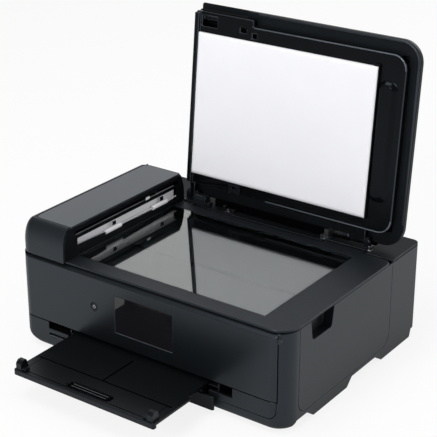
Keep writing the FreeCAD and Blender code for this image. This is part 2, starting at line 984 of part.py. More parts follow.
# Point on the sloping rear paper bed: distance down the bed, height above it
def on_bed(along, height):
    run = V(rear_bed_low_y - rear_bed_top_y, rear_bed_low_z - rear_bed_top_z, 0)
    run.normalize()
    normal = V(run.y, -run.x, 0)
    spot = V(rear_bed_top_y, rear_bed_top_z, 0) + run * along + normal * height
    return spot.x, spot.y


def bed_length():
    return math.hypot(rear_bed_low_y - rear_bed_top_y, rear_bed_low_z - rear_bed_top_z)


# Strip lying on the bed between two distances and two heights
def bed_strip(along0, along1, height0, height1, x0, x1):
    spots = [(along0, height0), (along1, height0), (along1, height1), (along0, height1)]
    return side([(*on_bed(a, h), 0) for a, h in spots], x0, x1)


def paper_edges():
    return paper_middle - paper_width / 2, paper_middle + paper_width / 2


def rear_paper_bed():
    left, right = paper_edges()
    left -= rear_bed_margin
    right += rear_bed_margin
    slab = bed_strip(0, bed_length(), -rear_bed_thickness, 0, left, right)
    bar = block(left_plate_x + plate_gauge, right_plate_x, rear_bed_low_y - rear_bed_bar, rear_bed_low_y,
                rear_bed_low_z - rear_bed_bar * 2, rear_bed_low_z - rear_bed_thickness)
    joint = block(left, right, rear_bed_low_y - rear_bed_bar, rear_bed_low_y + rear_bed_bar,
                  rear_bed_low_z - rear_bed_bar * 2, rear_bed_low_z)
    cut_top = bed_strip(-bed_cut_lead, bed_length() + bed_cut_lead * 2, 0, bed_cut_height, left - bite,
                        right + bite)
    ledge = block(left, right, rear_bed_top_y - rear_bed_thickness, body_depth - case_wall,
                  rear_bed_top_z - rear_bed_thickness * 2, rear_bed_top_z - rear_bed_thickness)
    return fused(slab, bar, joint.cut(cut_top), ledge.cut(cut_top))


def rear_guide(inner_edge, direction):
    outer_edge = inner_edge + direction * rear_guide_thickness
    x0, x1 = sorted((inner_edge, outer_edge))
    end = rear_guide_start + rear_guide_length
    wall = bed_strip(rear_guide_start, end, slide_gap, rear_guide_height, x0, x1)
    foot = bed_strip(rear_guide_start, end, slide_gap, slide_gap + rear_guide_foot, x0 - rear_guide_toe,
                     x1 + rear_guide_toe)
    return fused(wall, foot)


def panel_shell():
    outline = plan(case_plan(0), panel_bottom, panel_top)
    outline = outline.common(block(-half, panel_right, 0, panel_wrap, panel_bottom, panel_top))
    inside = plan(case_plan(panel_skin), panel_bottom - bite, panel_top + bite)
    bar = block(-half + front_left_round, panel_right, panel_skin - bite, panel_bevel_depth,
                panel_top - panel_bevel_height - panel_skin, panel_top)
    grip = panel_pin_radius + panel_pin_wall
    lug_left = panel_arm_left() + panel_lug_width + slide_gap
    lugs = []
    for x0 in (lug_left, panel_right - panel_lug_width):
        lugs.append(block(x0, x0 + panel_lug_width, panel_skin - bite, panel_hinge_y + grip,
                          panel_hinge_z - grip, panel_hinge_z + grip))
    body = fused(outline.cut(inside), bar, *lugs).common(outline)
    bevel_start = panel_top - panel_bevel_height
    bevel = side([(-bite, bevel_start, 0), (0, bevel_start, 0), (panel_bevel_depth, panel_top, 0),
                  (panel_bevel_depth, panel_top + bite, 0), (-bite, panel_top + bite, 0)], -half, half)
    screen = block(screen_left, screen_left + screen_width, -bite, panel_skin + bite, screen_bottom,
                   screen_bottom + screen_height)
    button = rod_y(-bite, panel_skin + bite, button_x, button_z, button_radius + slide_gap)
    pin = rod_x(-half, half, panel_hinge_y, panel_hinge_z, panel_pin_radius + running_fit)
    arm_path = block(-half + panel_skin, lug_left - slide_gap / 2, panel_skin, panel_wrap + bite,
                     panel_hinge_z - grip - bite, panel_top + bite)
    heel = side([(panel_hinge_y, panel_bottom - bite, 0), (panel_wrap + bite, panel_bottom - bite, 0),
                 (panel_wrap + bite, panel_bottom + panel_heel, 0), (panel_hinge_y, panel_bottom, 0)],
                -half, half)
    return body.cut([bevel, screen, button, pin, arm_path, heel])


def touch_screen():
    gap = slide_gap / 2
    return block(screen_left + gap, screen_left + screen_width - gap, screen_recess,
                 screen_recess + screen_glass,
                 screen_bottom + gap, screen_bottom + screen_height - gap)


def screen_module():
    m = screen_module_margin
    behind = screen_recess + screen_glass
    box = block(screen_left - m, screen_left + screen_width + m, panel_skin,
                panel_skin + screen_module_depth,
                screen_bottom - m, screen_bottom + screen_height + m)
    gap = slide_gap / 2
    nose = block(screen_left + gap, screen_left + screen_width - gap, behind, panel_skin,
                 screen_bottom + gap, screen_bottom + screen_height - gap)
    return fused(box, nose)


def power_button():
    cap = rod_y(button_recess, panel_skin + slide_gap, button_x, button_z, button_radius)
    flange = rod_y(panel_skin + slide_gap / 2, panel_skin + slide_gap + button_flange, button_x, button_z,
                   button_radius + button_flange)
    rim = cap.Edges
    cap = cap.makeFillet(button_edge, [e for e in rim if abs(e.BoundBox.YMax - button_recess) < edge_test])
    return fused(cap, flange)


def output_tray():
    low = tray_top - tray_thickness
    front_end = -tray_reach
    plate = plan([(tray_left, front_end, tray_round), (tray_right, front_end, tray_round),
                  (tray_right, tray_neck_y, tray_neck_round),
                  (tray_neck_right, tray_neck_y, tray_neck_round),
                  (tray_neck_right, tray_tail, tray_tail_round), (tray_left, tray_tail, tray_tail_round)],
                 low, tray_top)
    lip = plan(rectangle(tray_left, tray_right, front_end, front_end + tray_lip_depth,
                         (tray_round, tray_round, 0, 0)),
               tray_top - tray_lip_height, tray_top)
    ears = [ear(tray_left + ear_inset), ear(tray_right - ear_inset - ear_width)]
    body = fused(plate, lip, *ears)
    long_edges = [e for e in body.Edges if e.BoundBox.YMax < front_end + edge_test
                  and e.BoundBox.XLength > tray_reach / 2]
    body = body.makeFillet(tray_edge_round, long_edges)
    left, right = support_ends()
    recess = block(left - seam, right + seam, support_axis()[0] + support_recess_back, tray_line_y,
                   tray_top - support_thickness - support_slack,
                   tray_top + bite)
    groove = block(tray_groove_x - tray_groove_width / 2, tray_groove_x + tray_groove_width / 2,
                   tray_line_y - bite,
                   -tray_tail, tray_top - tray_groove_depth, tray_top + bite)
    line = block(tray_left + tray_line_margin, tray_right - tray_line_margin, tray_line_y - bite,
                 tray_line_y + bite,
                 tray_top - tray_groove_depth,
                 tray_top + bite)
    y, z = support_axis()
    pin = rod_x(left - support_bore_reach, right + support_bore_reach, y, z,
                support_pin_radius + running_fit)
    return body.cut([recess, groove, line, pin])


# Upright lug at the front corner of the output tray
def ear(x0):
    start = -tray_reach + ear_setback
    end = start + ear_depth
    high = tray_top + ear_height
    shape = side([(start, tray_top - bite, 0), (start, high - ear_shoulder, ear_round),
                  (start + ear_shoulder, high, ear_round), (end - ear_shoulder, high, ear_round),
                  (end, tray_top - bite, 0)], x0, x0 + ear_width)
    return shape


def support_ends():
    left = tray_left + ear_inset + ear_width + slide_gap
    right = tray_right - ear_inset - ear_width - slide_gap
    return left, right


def support_axis():
    return -tray_reach + support_hinge_back, tray_top + support_hinge_rise


def output_support():
    left, right = support_ends()
    y, z = support_axis()
    low = tray_top - support_thickness
    plate = block(left, right, y + support_root, tray_line_y - slide_gap, low, tray_top)
    parts = [plate]
    for x0 in (left, right - support_arm):
        barrel = rod_x(x0, x0 + support_arm, y, z, support_hinge_rise - barrel_slack)
        bar = block(x0, x0 + support_arm, y, y + support_arm, z - support_hinge_rise + barrel_slack,
                    z + support_hinge_rise - barrel_slack)
        foot = block(x0, x0 + support_arm, y + support_root, y + support_arm, low, z)
        parts += [barrel, bar, foot]
    parts.append(rod_x(left - support_pin_reach, left + bite, y, z, support_pin_radius))
    parts.append(rod_x(right - bite, right + support_pin_reach, y, z, support_pin_radius))
    grip = plan(rectangle(grip_left, grip_right, y + grip_back, y + grip_back + grip_width, grip_round),
                tray_top - grip_depth,
                tray_top + bite)
    ribs = []
    for i in range(grip_rib_count):
        middle = y + grip_back + grip_width * (i + 1) / (grip_rib_count + 1)
        ribs.append(block(grip_left + grip_rib_margin, grip_right - grip_rib_margin, middle - grip_rib_half,
                          middle + grip_rib_half, low + grip_rib_rise, tray_top - grip_rib_drop))
    return fused(fused(*parts).cut(grip), *ribs)


def paper_cassette():
    top = cassette_bottom + cassette_height
    start = -cassette_reach + fascia_thickness
    end = -cassette_reach + cassette_length
    body = plan(rectangle(cassette_left, cassette_right, start - bite, end,
                          (0, 0, cassette_round, cassette_round)), cassette_bottom,
                top)
    inside = block(cassette_left + cassette_wall, cassette_right - cassette_wall, start + cassette_wall,
                   end - cassette_wall, cassette_bottom + cassette_floor, top + bite)
    fascia = plan(rectangle(cassette_left - fascia_margin, cassette_right + fascia_margin, -cassette_reach,
                            start, (fascia_round / 2, fascia_round / 2, 0, 0)), fascia_bottom, fascia_top)
    scoop = rod_x(paper_middle - scoop_half, paper_middle + scoop_half, -cassette_reach, fascia_bottom,
                  fascia_round)
    return fused(body.cut(inside), fascia.cut(scoop))


def cassette_guide(inner_edge, direction):
    outer_edge = inner_edge + direction * guide_thickness
    x0, x1 = sorted((inner_edge, outer_edge))
    low = cassette_bottom + cassette_floor + slide_gap / 2
    wall = block(x0, x1, guide_y, guide_y + guide_length, low, low + guide_height)
    foot = block(x0 - guide_toe, x1 + guide_toe, guide_y + guide_length / 3, guide_y + guide_length * 2 / 3,
                 low,
                 low + guide_foot)
    return fused(wall, foot)


def platen_plan():
    return rectangle(-half + feeder_wall + seam / 2, half, platen_front, platen_rear,
                     (feeder_corner_round - feeder_wall, front_right_round, platen_rear_round,
                      platen_left_round))


# Tongue that carries a lid hinge, with the arm of the scanner hinge under it
def platen_tongue(left, right, arm_left):
    plate = block(left, right, platen_rear - tongue_root, tongue_rear, platen_bottom, platen_top)
    arm = block(arm_left, arm_left + lift_arm_width, platen_rear - arm_root, lift_axis_y,
                lift_axis_z - lift_arm_radius,
                platen_bottom)
    arm = arm.cut(block(arm_left - bite, arm_left + lift_arm_width + bite, tongue_rear, lift_axis_y + bite,
                        lift_axis_z + lift_arm_radius - bite, platen_top))
    eye = rod_x(arm_left, arm_left + lift_arm_width, lift_axis_y, lift_axis_z, lift_arm_radius)
    return fused(plate, arm, eye)


def platen_frame():
    plate = plan(platen_plan(), platen_bottom, platen_top)
    right_arm = right_tongue_right - lift_arm_width - seam * 2
    left_arm = left_tongue_left + seam * 2
    body = fused(plate, platen_tongue(right_tongue_left, right_tongue_right, right_arm),
                 platen_tongue(left_tongue_left, left_tongue_right, left_arm))
    seat = block(glass_left, glass_right, glass_front, glass_rear, glass_bottom, platen_top + bite)
    hole = block(glass_left + glass_ledge, glass_right - glass_ledge, glass_front + glass_ledge,
                 glass_rear - glass_ledge, platen_bottom - bite, platen_top)
    window = block(window_left, window_right, sensor_front + window_front_gap,
                   sensor_rear - window_rear_gap,
                   platen_bottom - bite,
                   platen_top + bite)
    pin = rod_x(-half, half, lift_axis_y, lift_axis_z, lift_pin_radius + running_fit)
    return body.cut([seat, hole, window, pin])


def scan_glass():
    gap = slide_gap / 2
    return block(glass_left + gap, glass_right - gap, glass_front + gap, glass_rear - gap, glass_bottom,
                 glass_bottom + glass_thickness)


def scanner_tub():
    outer = plan(rectangle(-tub_side, tub_side, tub_front, tub_rear, tub_round), tub_bottom, platen_bottom)
    w = tub_wall
    inside = plan(rectangle(w - tub_side, tub_side - w, tub_front + w, tub_rear - w, tub_round - w),
                  tub_bottom + w,
                  platen_bottom + bite)
    middle = (sensor_front + sensor_rear) / 2
    rail = block(w - tub_side - tub_rail_root, tub_side - w + tub_rail_root, middle - tub_rail_half,
                 middle + tub_rail_half, tub_bottom + bite, tub_bottom + w + tub_rail_height)
    return fused(outer.cut(inside), rail)


def scan_carriage():
    x0 = sensor_x - sensor_width / 2
    low = tub_bottom + tub_wall + slide_gap
    body = block(x0, x0 + sensor_width, sensor_front, sensor_rear, low, low + sensor_holder)
    middle = (sensor_front + sensor_rear) / 2
    groove = block(x0 - bite, x0 + sensor_width + bite, middle - tub_rail_half - slide_gap,
                   middle + tub_rail_half + slide_gap,
                   low - bite,
                   tub_bottom + tub_wall + tub_rail_height + slide_gap)
    return body.cut(groove)


def image_sensor():
    low = tub_bottom + tub_wall + slide_gap + sensor_holder
    x0 = sensor_x - sensor_width / 2 + bar_margin
    bar = block(x0, x0 + sensor_width - bar_margin * 2, sensor_front + bar_end, sensor_rear - bar_end, low,
                low + sensor_bar)
    lens = block(sensor_x - lens_half, sensor_x + lens_half, sensor_front + lens_end,
                 sensor_rear - lens_end, low + sensor_bar - bite,
                 low + sensor_bar + bite)
    return bar.cut(lens)


# Body of the feeder with its top edge rounded off, drawn in by inset
def feeder_form(inset):
    left = -half + inset
    right = feeder_right - feeder_inner
    low = platen_bottom
    high = feeder_top - inset
    corner = feeder_corner_round - inset
    reach = right + inset * 2
    base = plan(rectangle(left, reach, inset, feeder_rear - inset, (corner, 0, 0, corner)), low, high)
    rim = [e for e in edges_at_height(base, high) if e.BoundBox.XMin < reach - bite]
    return base.makeFillet(feeder_round - inset, rim)


def feeder_housing():
    shell = feeder_form(0).cut(feeder_form(feeder_wall))
    back = block(-half - bite, feeder_right, platen_rear + seam / 2, feeder_rear + bite,
                 platen_bottom - bite, platen_top + feeder_back_rise)
    low = feeder_top - lid_plate_skin - lid_plate_ledge
    axis_x, axis_z = lid_plate_axis()
    margin = lid_plate_margin
    ledge = plan(rectangle(lid_plate_left - margin, feeder_right - feeder_inner, lid_plate_front - margin,
                           lid_plate_rear + margin, (lid_plate_round + margin, 0, 0,
                                                     lid_plate_round + margin)),
                 low, feeder_top - bite)
    hole = plan(rectangle(lid_plate_left + margin, feeder_right + bite, lid_plate_front + margin,
                          lid_plate_rear - margin, (lid_plate_round - margin, 0, 0,
                                                    lid_plate_round - margin)),
                low - bite, feeder_top)
    bosses = []
    for y0 in (lid_plate_front - boss_length - boss_gap, lid_plate_rear + boss_gap):
        bosses.append(block(axis_x - boss_half, axis_x + boss_half, y0, y0 + boss_length, low,
                            axis_z + lid_plate_pin + boss_rise))
    opening = plan(rectangle(lid_plate_left - seam, feeder_right + bite, lid_plate_front - seam,
                             lid_plate_rear + seam,
                             (lid_plate_round + seam, 0, 0, lid_plate_round + seam)),
                   feeder_top - lid_plate_skin - slide_gap / 2, feeder_top + bite)
    body = fused(shell.cut(back), ledge.cut(hole), *bosses)
    pin = rod_y(lid_plate_front - cover_bore_reach, lid_plate_rear + cover_bore_reach, axis_x, axis_z,
                lid_plate_pin + running_fit)
    edge = rod_y(lid_plate_front, lid_plate_rear, axis_x, axis_z, lid_plate_skin / 2 + slide_gap)
    return body.cut([opening, pin, edge])


def lid_plate_axis():
    return lid_plate_left + lid_plate_skin / 2, feeder_top - lid_plate_skin / 2


def feeder_cover():
    axis_x, axis_z = lid_plate_axis()
    r = lid_plate_skin / 2
    plate = plan(rectangle(lid_plate_left, feeder_right - seam, lid_plate_front, lid_plate_rear,
                           (lid_plate_round, 1, 1, lid_plate_round)), feeder_top - lid_plate_skin,
                 feeder_top)
    square_edge = block(lid_plate_left - bite, axis_x, lid_plate_front - bite, lid_plate_rear + bite,
                        feeder_top - lid_plate_skin - bite, feeder_top + bite)
    first = lid_plate_front + lid_plate_round
    last = lid_plate_rear - lid_plate_round
    edge = rod_y(first, last, axis_x, axis_z, r)
    pins = [rod_y(lid_plate_front - cover_pin_reach, first + bite, axis_x, axis_z, lid_plate_pin),
            rod_y(last - bite, lid_plate_rear + cover_pin_reach, axis_x, axis_z, lid_plate_pin)]
    return fused(plate.cut(square_edge), edge, *pins)


def feeder_inner_wall():
    right = feeder_right
    left = feeder_right - feeder_inner
    low = platen_top + slide_gap
    wall = side(rectangle(seam, feeder_rear - feeder_wall, low, feeder_top - lid_plate_skin - seam,
                          (0, 0, feeder_round, feeder_round)), left, right)
    exit_slot = block(left - bite, right + bite, exit_slot_front, exit_slot_rear, exit_slot_bottom,
                      exit_slot_top)
    input_slot = block(left - bite, right + bite, exit_slot_front - input_slot_margin,
                       exit_slot_rear + input_slot_margin,
                       input_slot_bottom, input_slot_top)
    pin = rod_y(exit_slot_front - exit_bore_reach, exit_slot_rear + exit_bore_reach, exit_roller_x,
                exit_roller_z,
                exit_shaft_radius + running_fit)
    return wall.cut([exit_slot, input_slot, pin])


def feeder_guide_strip():
    back = feeder_right - feeder_inner
    face = exit_roller_x - exit_roller_radius - slide_gap
    sheet = block(face - strip_thickness, face, exit_slot_front - bite, exit_slot_rear + bite,
                  exit_slot_bottom - bite,
                  exit_slot_top + strip_lip_high)
    lip = block(face - strip_thickness, back, exit_slot_front - bite, exit_slot_rear + bite,
                exit_slot_top + strip_lip_low,
                exit_slot_top + strip_lip_high)
    return fused(sheet, lip)


def feeder_exit_roller():
    shaft = rod_y(exit_slot_front - exit_shaft_reach, exit_slot_rear + exit_shaft_reach, exit_roller_x,
                  exit_roller_z,
                  exit_shaft_radius)
    rollers = []
    for share in exit_roller_shares:
        y = exit_slot_front + (exit_slot_rear - exit_slot_front) * share
        rollers.append(rod_y(y, y + exit_roller_length, exit_roller_x, exit_roller_z, exit_roller_radius))
    return fused(shaft, *rollers)


# Ears of one lid hinge on their base plate
def hinge_bracket(left, right):
    base = block(left, right, lid_axis_y - 2 * hinge_ear_radius, lid_axis_y + hinge_ear_radius, platen_top,
                 platen_top + hinge_base)
    parts = [base]
    for x0 in (left, right - hinge_ear_width):
        parts.append(rod_x(x0, x0 + hinge_ear_width, lid_axis_y, lid_axis_z, hinge_ear_radius))
        parts.append(block(x0, x0 + hinge_ear_width, lid_axis_y - hinge_ear_radius,
                           lid_axis_y + hinge_ear_radius,
                           platen_top, lid_axis_z))
    hole = rod_x(left - bite, right + bite, lid_axis_y, lid_axis_z, hinge_pin_radius)
    return fused(*parts).cut(hole)


def hinge_spans():
    return ((left_hinge_left, left_hinge_right), (right_hinge_left, right_hinge_right))


def lid_hinge_brackets():
    return Part.makeCompound([hinge_bracket(left, right) for left, right in hinge_spans()])


def lid_hinge_pins():
    return Part.makeCompound([rod_x(left, right, lid_axis_y, lid_axis_z, hinge_pin_radius)
                              for left, right in hinge_spans()])


# Turns a piece of the closed lid to where it stands with the lid open
def opened(shape):
    turned = shape.copy()
    turned.rotate(V(0, lid_axis_y, lid_axis_z), V(1, 0, 0), -lid_open)
    return turned


def lid_outer_shell():
    radii = (lid_small_round, lid_round, lid_round, lid_small_round)
    slab = plan(rectangle(lid_left, lid_right, lid_front, lid_rear, radii), rim_face, lid_top)
    slab = slab.makeFillet(shell_edge_round, edges_at_height(slab, lid_top))
    hollow = block(inner_left + inner_wall, inner_right - inner_wall, inner_front + inner_wall,
                   inner_rear - inner_wall, rim_face - bite, lid_top - lid_skin)
    corner = block(lid_left - bite, block_right - corner_step, lid_front - bite, block_front - bite,
                   rim_face - bite,
                   rim_face + lid_slab / 2)
    clear = hinge_ear_radius + ear_clearance
    cuts = [hollow, corner]
    for left, right in hinge_spans():
        cuts.append(rod_x(left - ear_clearance, right + ear_clearance, lid_axis_y, lid_axis_z, clear))
        cuts.append(block(left - ear_clearance, right + ear_clearance, lid_axis_y, lid_rear + bite,
                          rim_face - bite,
                          lid_axis_z + clear))
    rails = []
    for y0 in (doc_tray_front + doc_rail_width, doc_tray_rear - doc_rail_back):
        rails.append(block(doc_axis_x + doc_rail_start, doc_tray_right - doc_rail_width, y0,
                           y0 + doc_rail_width, lid_top - bite,
                           lid_top + doc_rail_height))
    posts = []
    for y0 in (doc_tray_front - doc_post_depth - slide_gap, doc_tray_rear + slide_gap):
        posts.append(block(doc_axis_x - doc_post_width / 2, doc_axis_x + doc_post_width / 2, y0,
                           y0 + doc_post_depth,
                           lid_top - bite, doc_axis_z + doc_pin_radius * 2))
    pin = rod_y(lid_front, lid_rear, doc_axis_x, doc_axis_z, doc_pin_radius + running_fit)
    return opened(fused(slab.cut(cuts), *rails, *posts).cut(pin))


def lid_inner_frame():
    corners = [(inner_left, block_front, inner_small_round), (block_right, block_front, block_round),
               (block_right, inner_front, 0),
               (inner_right, inner_front, inner_round), (inner_right, inner_rear, inner_round),
               (inner_left, inner_rear, inner_small_round)]
    body = plan(corners, inner_face, rim_face)
    hollow = block(inner_left + inner_wall, inner_right - inner_wall, inner_front + inner_wall,
                   inner_rear - inner_wall, inner_face + inner_plate, rim_face + bite)
    bump = plan(rectangle(bump_left, bump_right, bump_front, bump_rear, bump_round),
                inner_face - bump_height,
                inner_face + bite)
    bump = bump.makeFillet(bump_fillet, edges_at_height(bump, inner_face - bump_height))
    rib = block(inner_left, pad_left - slide_gap, block_front + rib_end,
                inner_rear - rib_end,
                pad_plane + rib_clearance, inner_face + bite)
    lugs = []
    for left, right in hinge_spans():
        x0 = left + hinge_ear_width + slide_gap
        x1 = right - hinge_ear_width - slide_gap
        lugs.append(rod_x(x0, x1, lid_axis_y, lid_axis_z, hinge_lug_radius))
        lugs.append(block(x0, x1, inner_rear - bite, lid_axis_y, lid_axis_z - lug_drop,
                          lid_axis_z + lug_rise))
    holes = [rod_x(left - bite, right + bite, lid_axis_y, lid_axis_z, hinge_pin_radius + running_fit)
             for left, right in hinge_spans()]
    for across, width, along, length in lid_holes:
        x0 = inner_left + across
        holes.append(block(x0, x0 + width, along, along + length, inner_face - bite,
                           inner_face + lid_hole_depth))
    return opened(fused(body.cut(hollow), bump, rib, *lugs).cut(holes))


def lid_pad_foam():
    return opened(block(pad_left, pad_right, pad_front, pad_rear, pad_plane + pad_sheet, inner_face))


def lid_pad_sheet():
    return opened(block(pad_left, pad_right, pad_front, pad_rear, pad_plane, pad_plane + pad_sheet))


def document_tray():
    plate = plan(rectangle(doc_tray_left, doc_tray_right, doc_tray_front, doc_tray_rear,
                           (doc_small_round, doc_round, doc_round, doc_small_round)),
                 doc_bottom, doc_bottom + doc_tray_thickness)
    plate = plate.makeFillet(doc_edge_round, edges_at_height(plate, doc_bottom + doc_tray_thickness))
    pins = [rod_y(doc_tray_front - doc_post_depth, doc_tray_front + doc_pin_root, doc_axis_x, doc_axis_z,
                  doc_pin_radius),
            rod_y(doc_tray_rear - doc_pin_root, doc_tray_rear + doc_post_depth, doc_axis_x, doc_axis_z,
                  doc_pin_radius)]
    middle = (doc_tray_front + doc_tray_rear) / 2
    grip = plan(rectangle(doc_tray_right - doc_grip_back, doc_tray_right + doc_grip_front,
                          middle - doc_grip_half,
                          middle + doc_grip_half, doc_grip_round),
                doc_bottom - bite,
                doc_bottom + doc_tray_thickness + bite)
    return opened(fused(plate, *pins).cut(grip))


def left_chassis_plate():
    plate = block(left_plate_x, left_plate_x + plate_gauge, plate_front, plate_rear, inner_floor, plate_top)
    y, z = idler_centre()
    stud = rod_x(gear_left - stud_reach, left_plate_x + bite, y, z, idler_stud)
    holes = shaft_holes(left_plate_x)
    holes.append(rod_x(left_plate_x - bite, left_plate_x + plate_gauge + bite, *pinion_centre(),
                       motor_shaft + bite))
    return fused(plate.cut(holes), stud)


def right_chassis_plate():
    plate = block(right_plate_x, right_plate_x + plate_gauge, plate_front, plate_rear, inner_floor,
                  plate_top)
    return plate.cut(shaft_holes(right_plate_x))


def shaft_holes(x0):
    holes = []
    for y, z, radius in ((feed_y, feed_z, feed_shaft), (exit_y, exit_z, exit_shaft),
                         (*pick_centre(), pick_shaft)):
        holes.append(rod_x(x0 - bite, x0 + plate_gauge + bite, y, z, radius + running_fit))
    return holes


def pitch(teeth):
    return gear_module * teeth / 2


def idler_centre():
    reach = math.hypot(exit_y - feed_y, exit_z - feed_z)
    part = (pitch(feed_teeth) + pitch(idler_teeth) + gear_spread) / reach
    return feed_y + (exit_y - feed_y) * part, feed_z + (exit_z - feed_z) * part


def pinion_centre():
    reach = pitch(feed_teeth) + pitch(pinion_teeth) + gear_spread
    angle = math.radians(pinion_angle)
    return feed_y + reach * math.cos(angle), feed_z + reach * math.sin(angle)


def pick_centre():
    return on_bed(pick_along, pick_radius + slide_gap)


# Involute gear on an X axis; phase is the angle of one tooth's middle, counted from +Y towards +Z
def gear(teeth, centre, phase, bore, x0, x1):
    pressure = math.radians(pressure_angle)
    radius = pitch(teeth)
    base = radius * math.cos(pressure)
    tip = radius + tooth_tip * gear_module
    root = radius - tooth_root * gear_module
    half_tooth = (math.pi * gear_module / 2 - gear_backlash) / 2 / radius
    start = max(base, root)
    steps = 4
    flank = []
    for i in range(steps):
        r = start + (tip - start) * i / (steps - 1)
        lean = math.acos(base / r)
        involute = math.tan(pressure) - pressure - math.tan(lean) + lean
        flank.append((r, half_tooth + involute))
    spots = []
    for tooth in range(teeth):
        middle = phase + 2 * math.pi * tooth / teeth
        spots.append((root, middle - flank[0][1]))
        spots += [(r, middle - a) for r, a in flank]
        spots += [(r, middle + a) for r, a in reversed(flank)]
        spots.append((root, middle + flank[0][1]))
    y, z = centre
    points = [V(x0, y + r * math.cos(a), z + r * math.sin(a)) for r, a in spots]
    wheel = Part.Face(Part.makePolygon(points + points[:1])).extrude(V(x1 - x0, 0, 0))
    return wheel.cut(rod_x(x0 - bite, x1 + bite, y, z, bore))


# Phase of a gear that meshes with a driver whose tooth phase is known
def meshed(driver_centre, driver_phase, driver_teeth, centre, teeth):
    bearing = math.atan2(centre[1] - driver_centre[1], centre[0] - driver_centre[0])
    behind = (bearing - driver_phase) % (2 * math.pi / driver_teeth)
    return bearing + math.pi + behind * driver_teeth / teeth - math.pi / teeth


def idler_phase():
    return meshed((feed_y, feed_z), 0.0, feed_teeth, idler_centre(), idler_teeth)


def feed_gear():
    return gear(feed_teeth, (feed_y, feed_z), 0.0, feed_shaft, gear_left, gear_right)


def idler_gear():
    return gear(idler_teeth, idler_centre(), idler_phase(), idler_stud + running_fit, gear_left, gear_right)


def exit_gear():
    phase = meshed(idler_centre(), idler_phase(), idler_teeth, (exit_y, exit_z), exit_teeth)
    return gear(exit_teeth, (exit_y, exit_z), phase, exit_shaft, gear_left, gear_right)


def motor_pinion():
    phase = meshed((feed_y, feed_z), 0.0, feed_teeth, pinion_centre(), pinion_teeth)
    wheel = gear(pinion_teeth, pinion_centre(), phase, motor_shaft / 2, gear_left, gear_right)
    shaft = rod_x(gear_left - bite, left_plate_x + plate_gauge + shaft_reach, *pinion_centre(), motor_shaft)
    return fused(wheel, shaft)


def drive_motor():
    start = left_plate_x + plate_gauge
    can = rod_x(start, start + motor_length, *pinion_centre(), motor_radius)
    bore = rod_x(start - bite, start + shaft_bore, *pinion_centre(), motor_shaft + running_fit)
    return can.cut(bore)


def feed_roller():
    left, right = paper_edges()
    shaft = rod_x(gear_left, right_plate_x + plate_gauge, feed_y, feed_z, feed_shaft)
    rubber = rod_x(left, right, feed_y, feed_z, feed_radius)
    return fused(shaft, rubber)


def exit_roller():
    left, right = paper_edges()
    shaft = rod_x(gear_left, right_plate_x + plate_gauge, exit_y, exit_z, exit_shaft)
    wheels = []
    for i in range(exit_wheel_count):
        x0 = left + (right - left - exit_wheel_width) * i / (exit_wheel_count - 1)
        wheels.append(rod_x(x0, x0 + exit_wheel_width, exit_y, exit_z, exit_radius))
    return fused(shaft, *wheels)


def rear_pick_roller():
    y, z = pick_centre()
    shaft = rod_x(left_plate_x, right_plate_x + plate_gauge, y, z, pick_shaft)
    rubber = rod_x(paper_middle - pick_width / 2, paper_middle + pick_width / 2, y, z, pick_radius)
    return fused(shaft, rubber)


def print_platen():
    top = platen_bar_bottom + platen_bar_thickness
    bar = block(left_plate_x + plate_gauge, right_plate_x, platen_bar_front, platen_bar_rear,
                platen_bar_bottom, top)
    left, right = paper_edges()
    ribs = []
    for i in range(platen_rib_count):
        x0 = left + (right - left - platen_rib) * i / (platen_rib_count - 1)
        ribs.append(block(x0, x0 + platen_rib, platen_bar_front + platen_rib_front,
                          platen_bar_rear - platen_rib_rear, top - bite,
                          top + platen_rib_height))
    return fused(bar, *ribs)


def maintenance_unit():
    low = platen_bar_bottom + platen_bar_thickness
    base = block(service_left, service_right, platen_bar_front + service_front,
                 platen_bar_rear - service_rear,
                 low,
                 low + service_height / 2)
    middle = carriage_left + carriage_width / 2
    cap = plan(rectangle(middle - cap_half, middle + cap_half, platen_bar_front + cap_front,
                         platen_bar_rear - cap_rear,
                         cap_round), low, low + service_height - cap_drop)
    well = plan(rectangle(middle - cap_half + cap_wall, middle + cap_half - cap_wall,
                          platen_bar_front + cap_front + cap_wall, platen_bar_rear - cap_rear - cap_wall,
                          well_round),
                low + service_height / 2, low + service_height)
    wiper = block(service_left + wiper_inset, service_left + wiper_inset * 2, platen_bar_front + cap_front,
                  platen_bar_rear - cap_rear, low, low + service_height - cap_drop)
    return fused(base, cap.cut(well), wiper)


def carriage_rail():
    left = left_plate_x + plate_gauge
    web = block(left, right_plate_x, rail_y, rail_y + plate_gauge, rail_bottom, rail_top)
    flange = block(left, right_plate_x, rail_y, rail_y + rail_flange, rail_bottom,
                   rail_bottom + plate_gauge)
    return fused(web, flange)


def carriage_motor():
    start = rail_y + plate_gauge
    middle_z = rail_bottom + plate_gauge + motor_radius
    x = left_plate_x + plate_gauge + motor_radius + motor_gap
    can = rod_y(start, start + motor_length, x, middle_z, motor_radius)
    plate = block(x - motor_radius, x + motor_radius, start, start + motor_plate, rail_bottom + plate_gauge,
                  middle_z + motor_radius)
    return fused(can, plate)


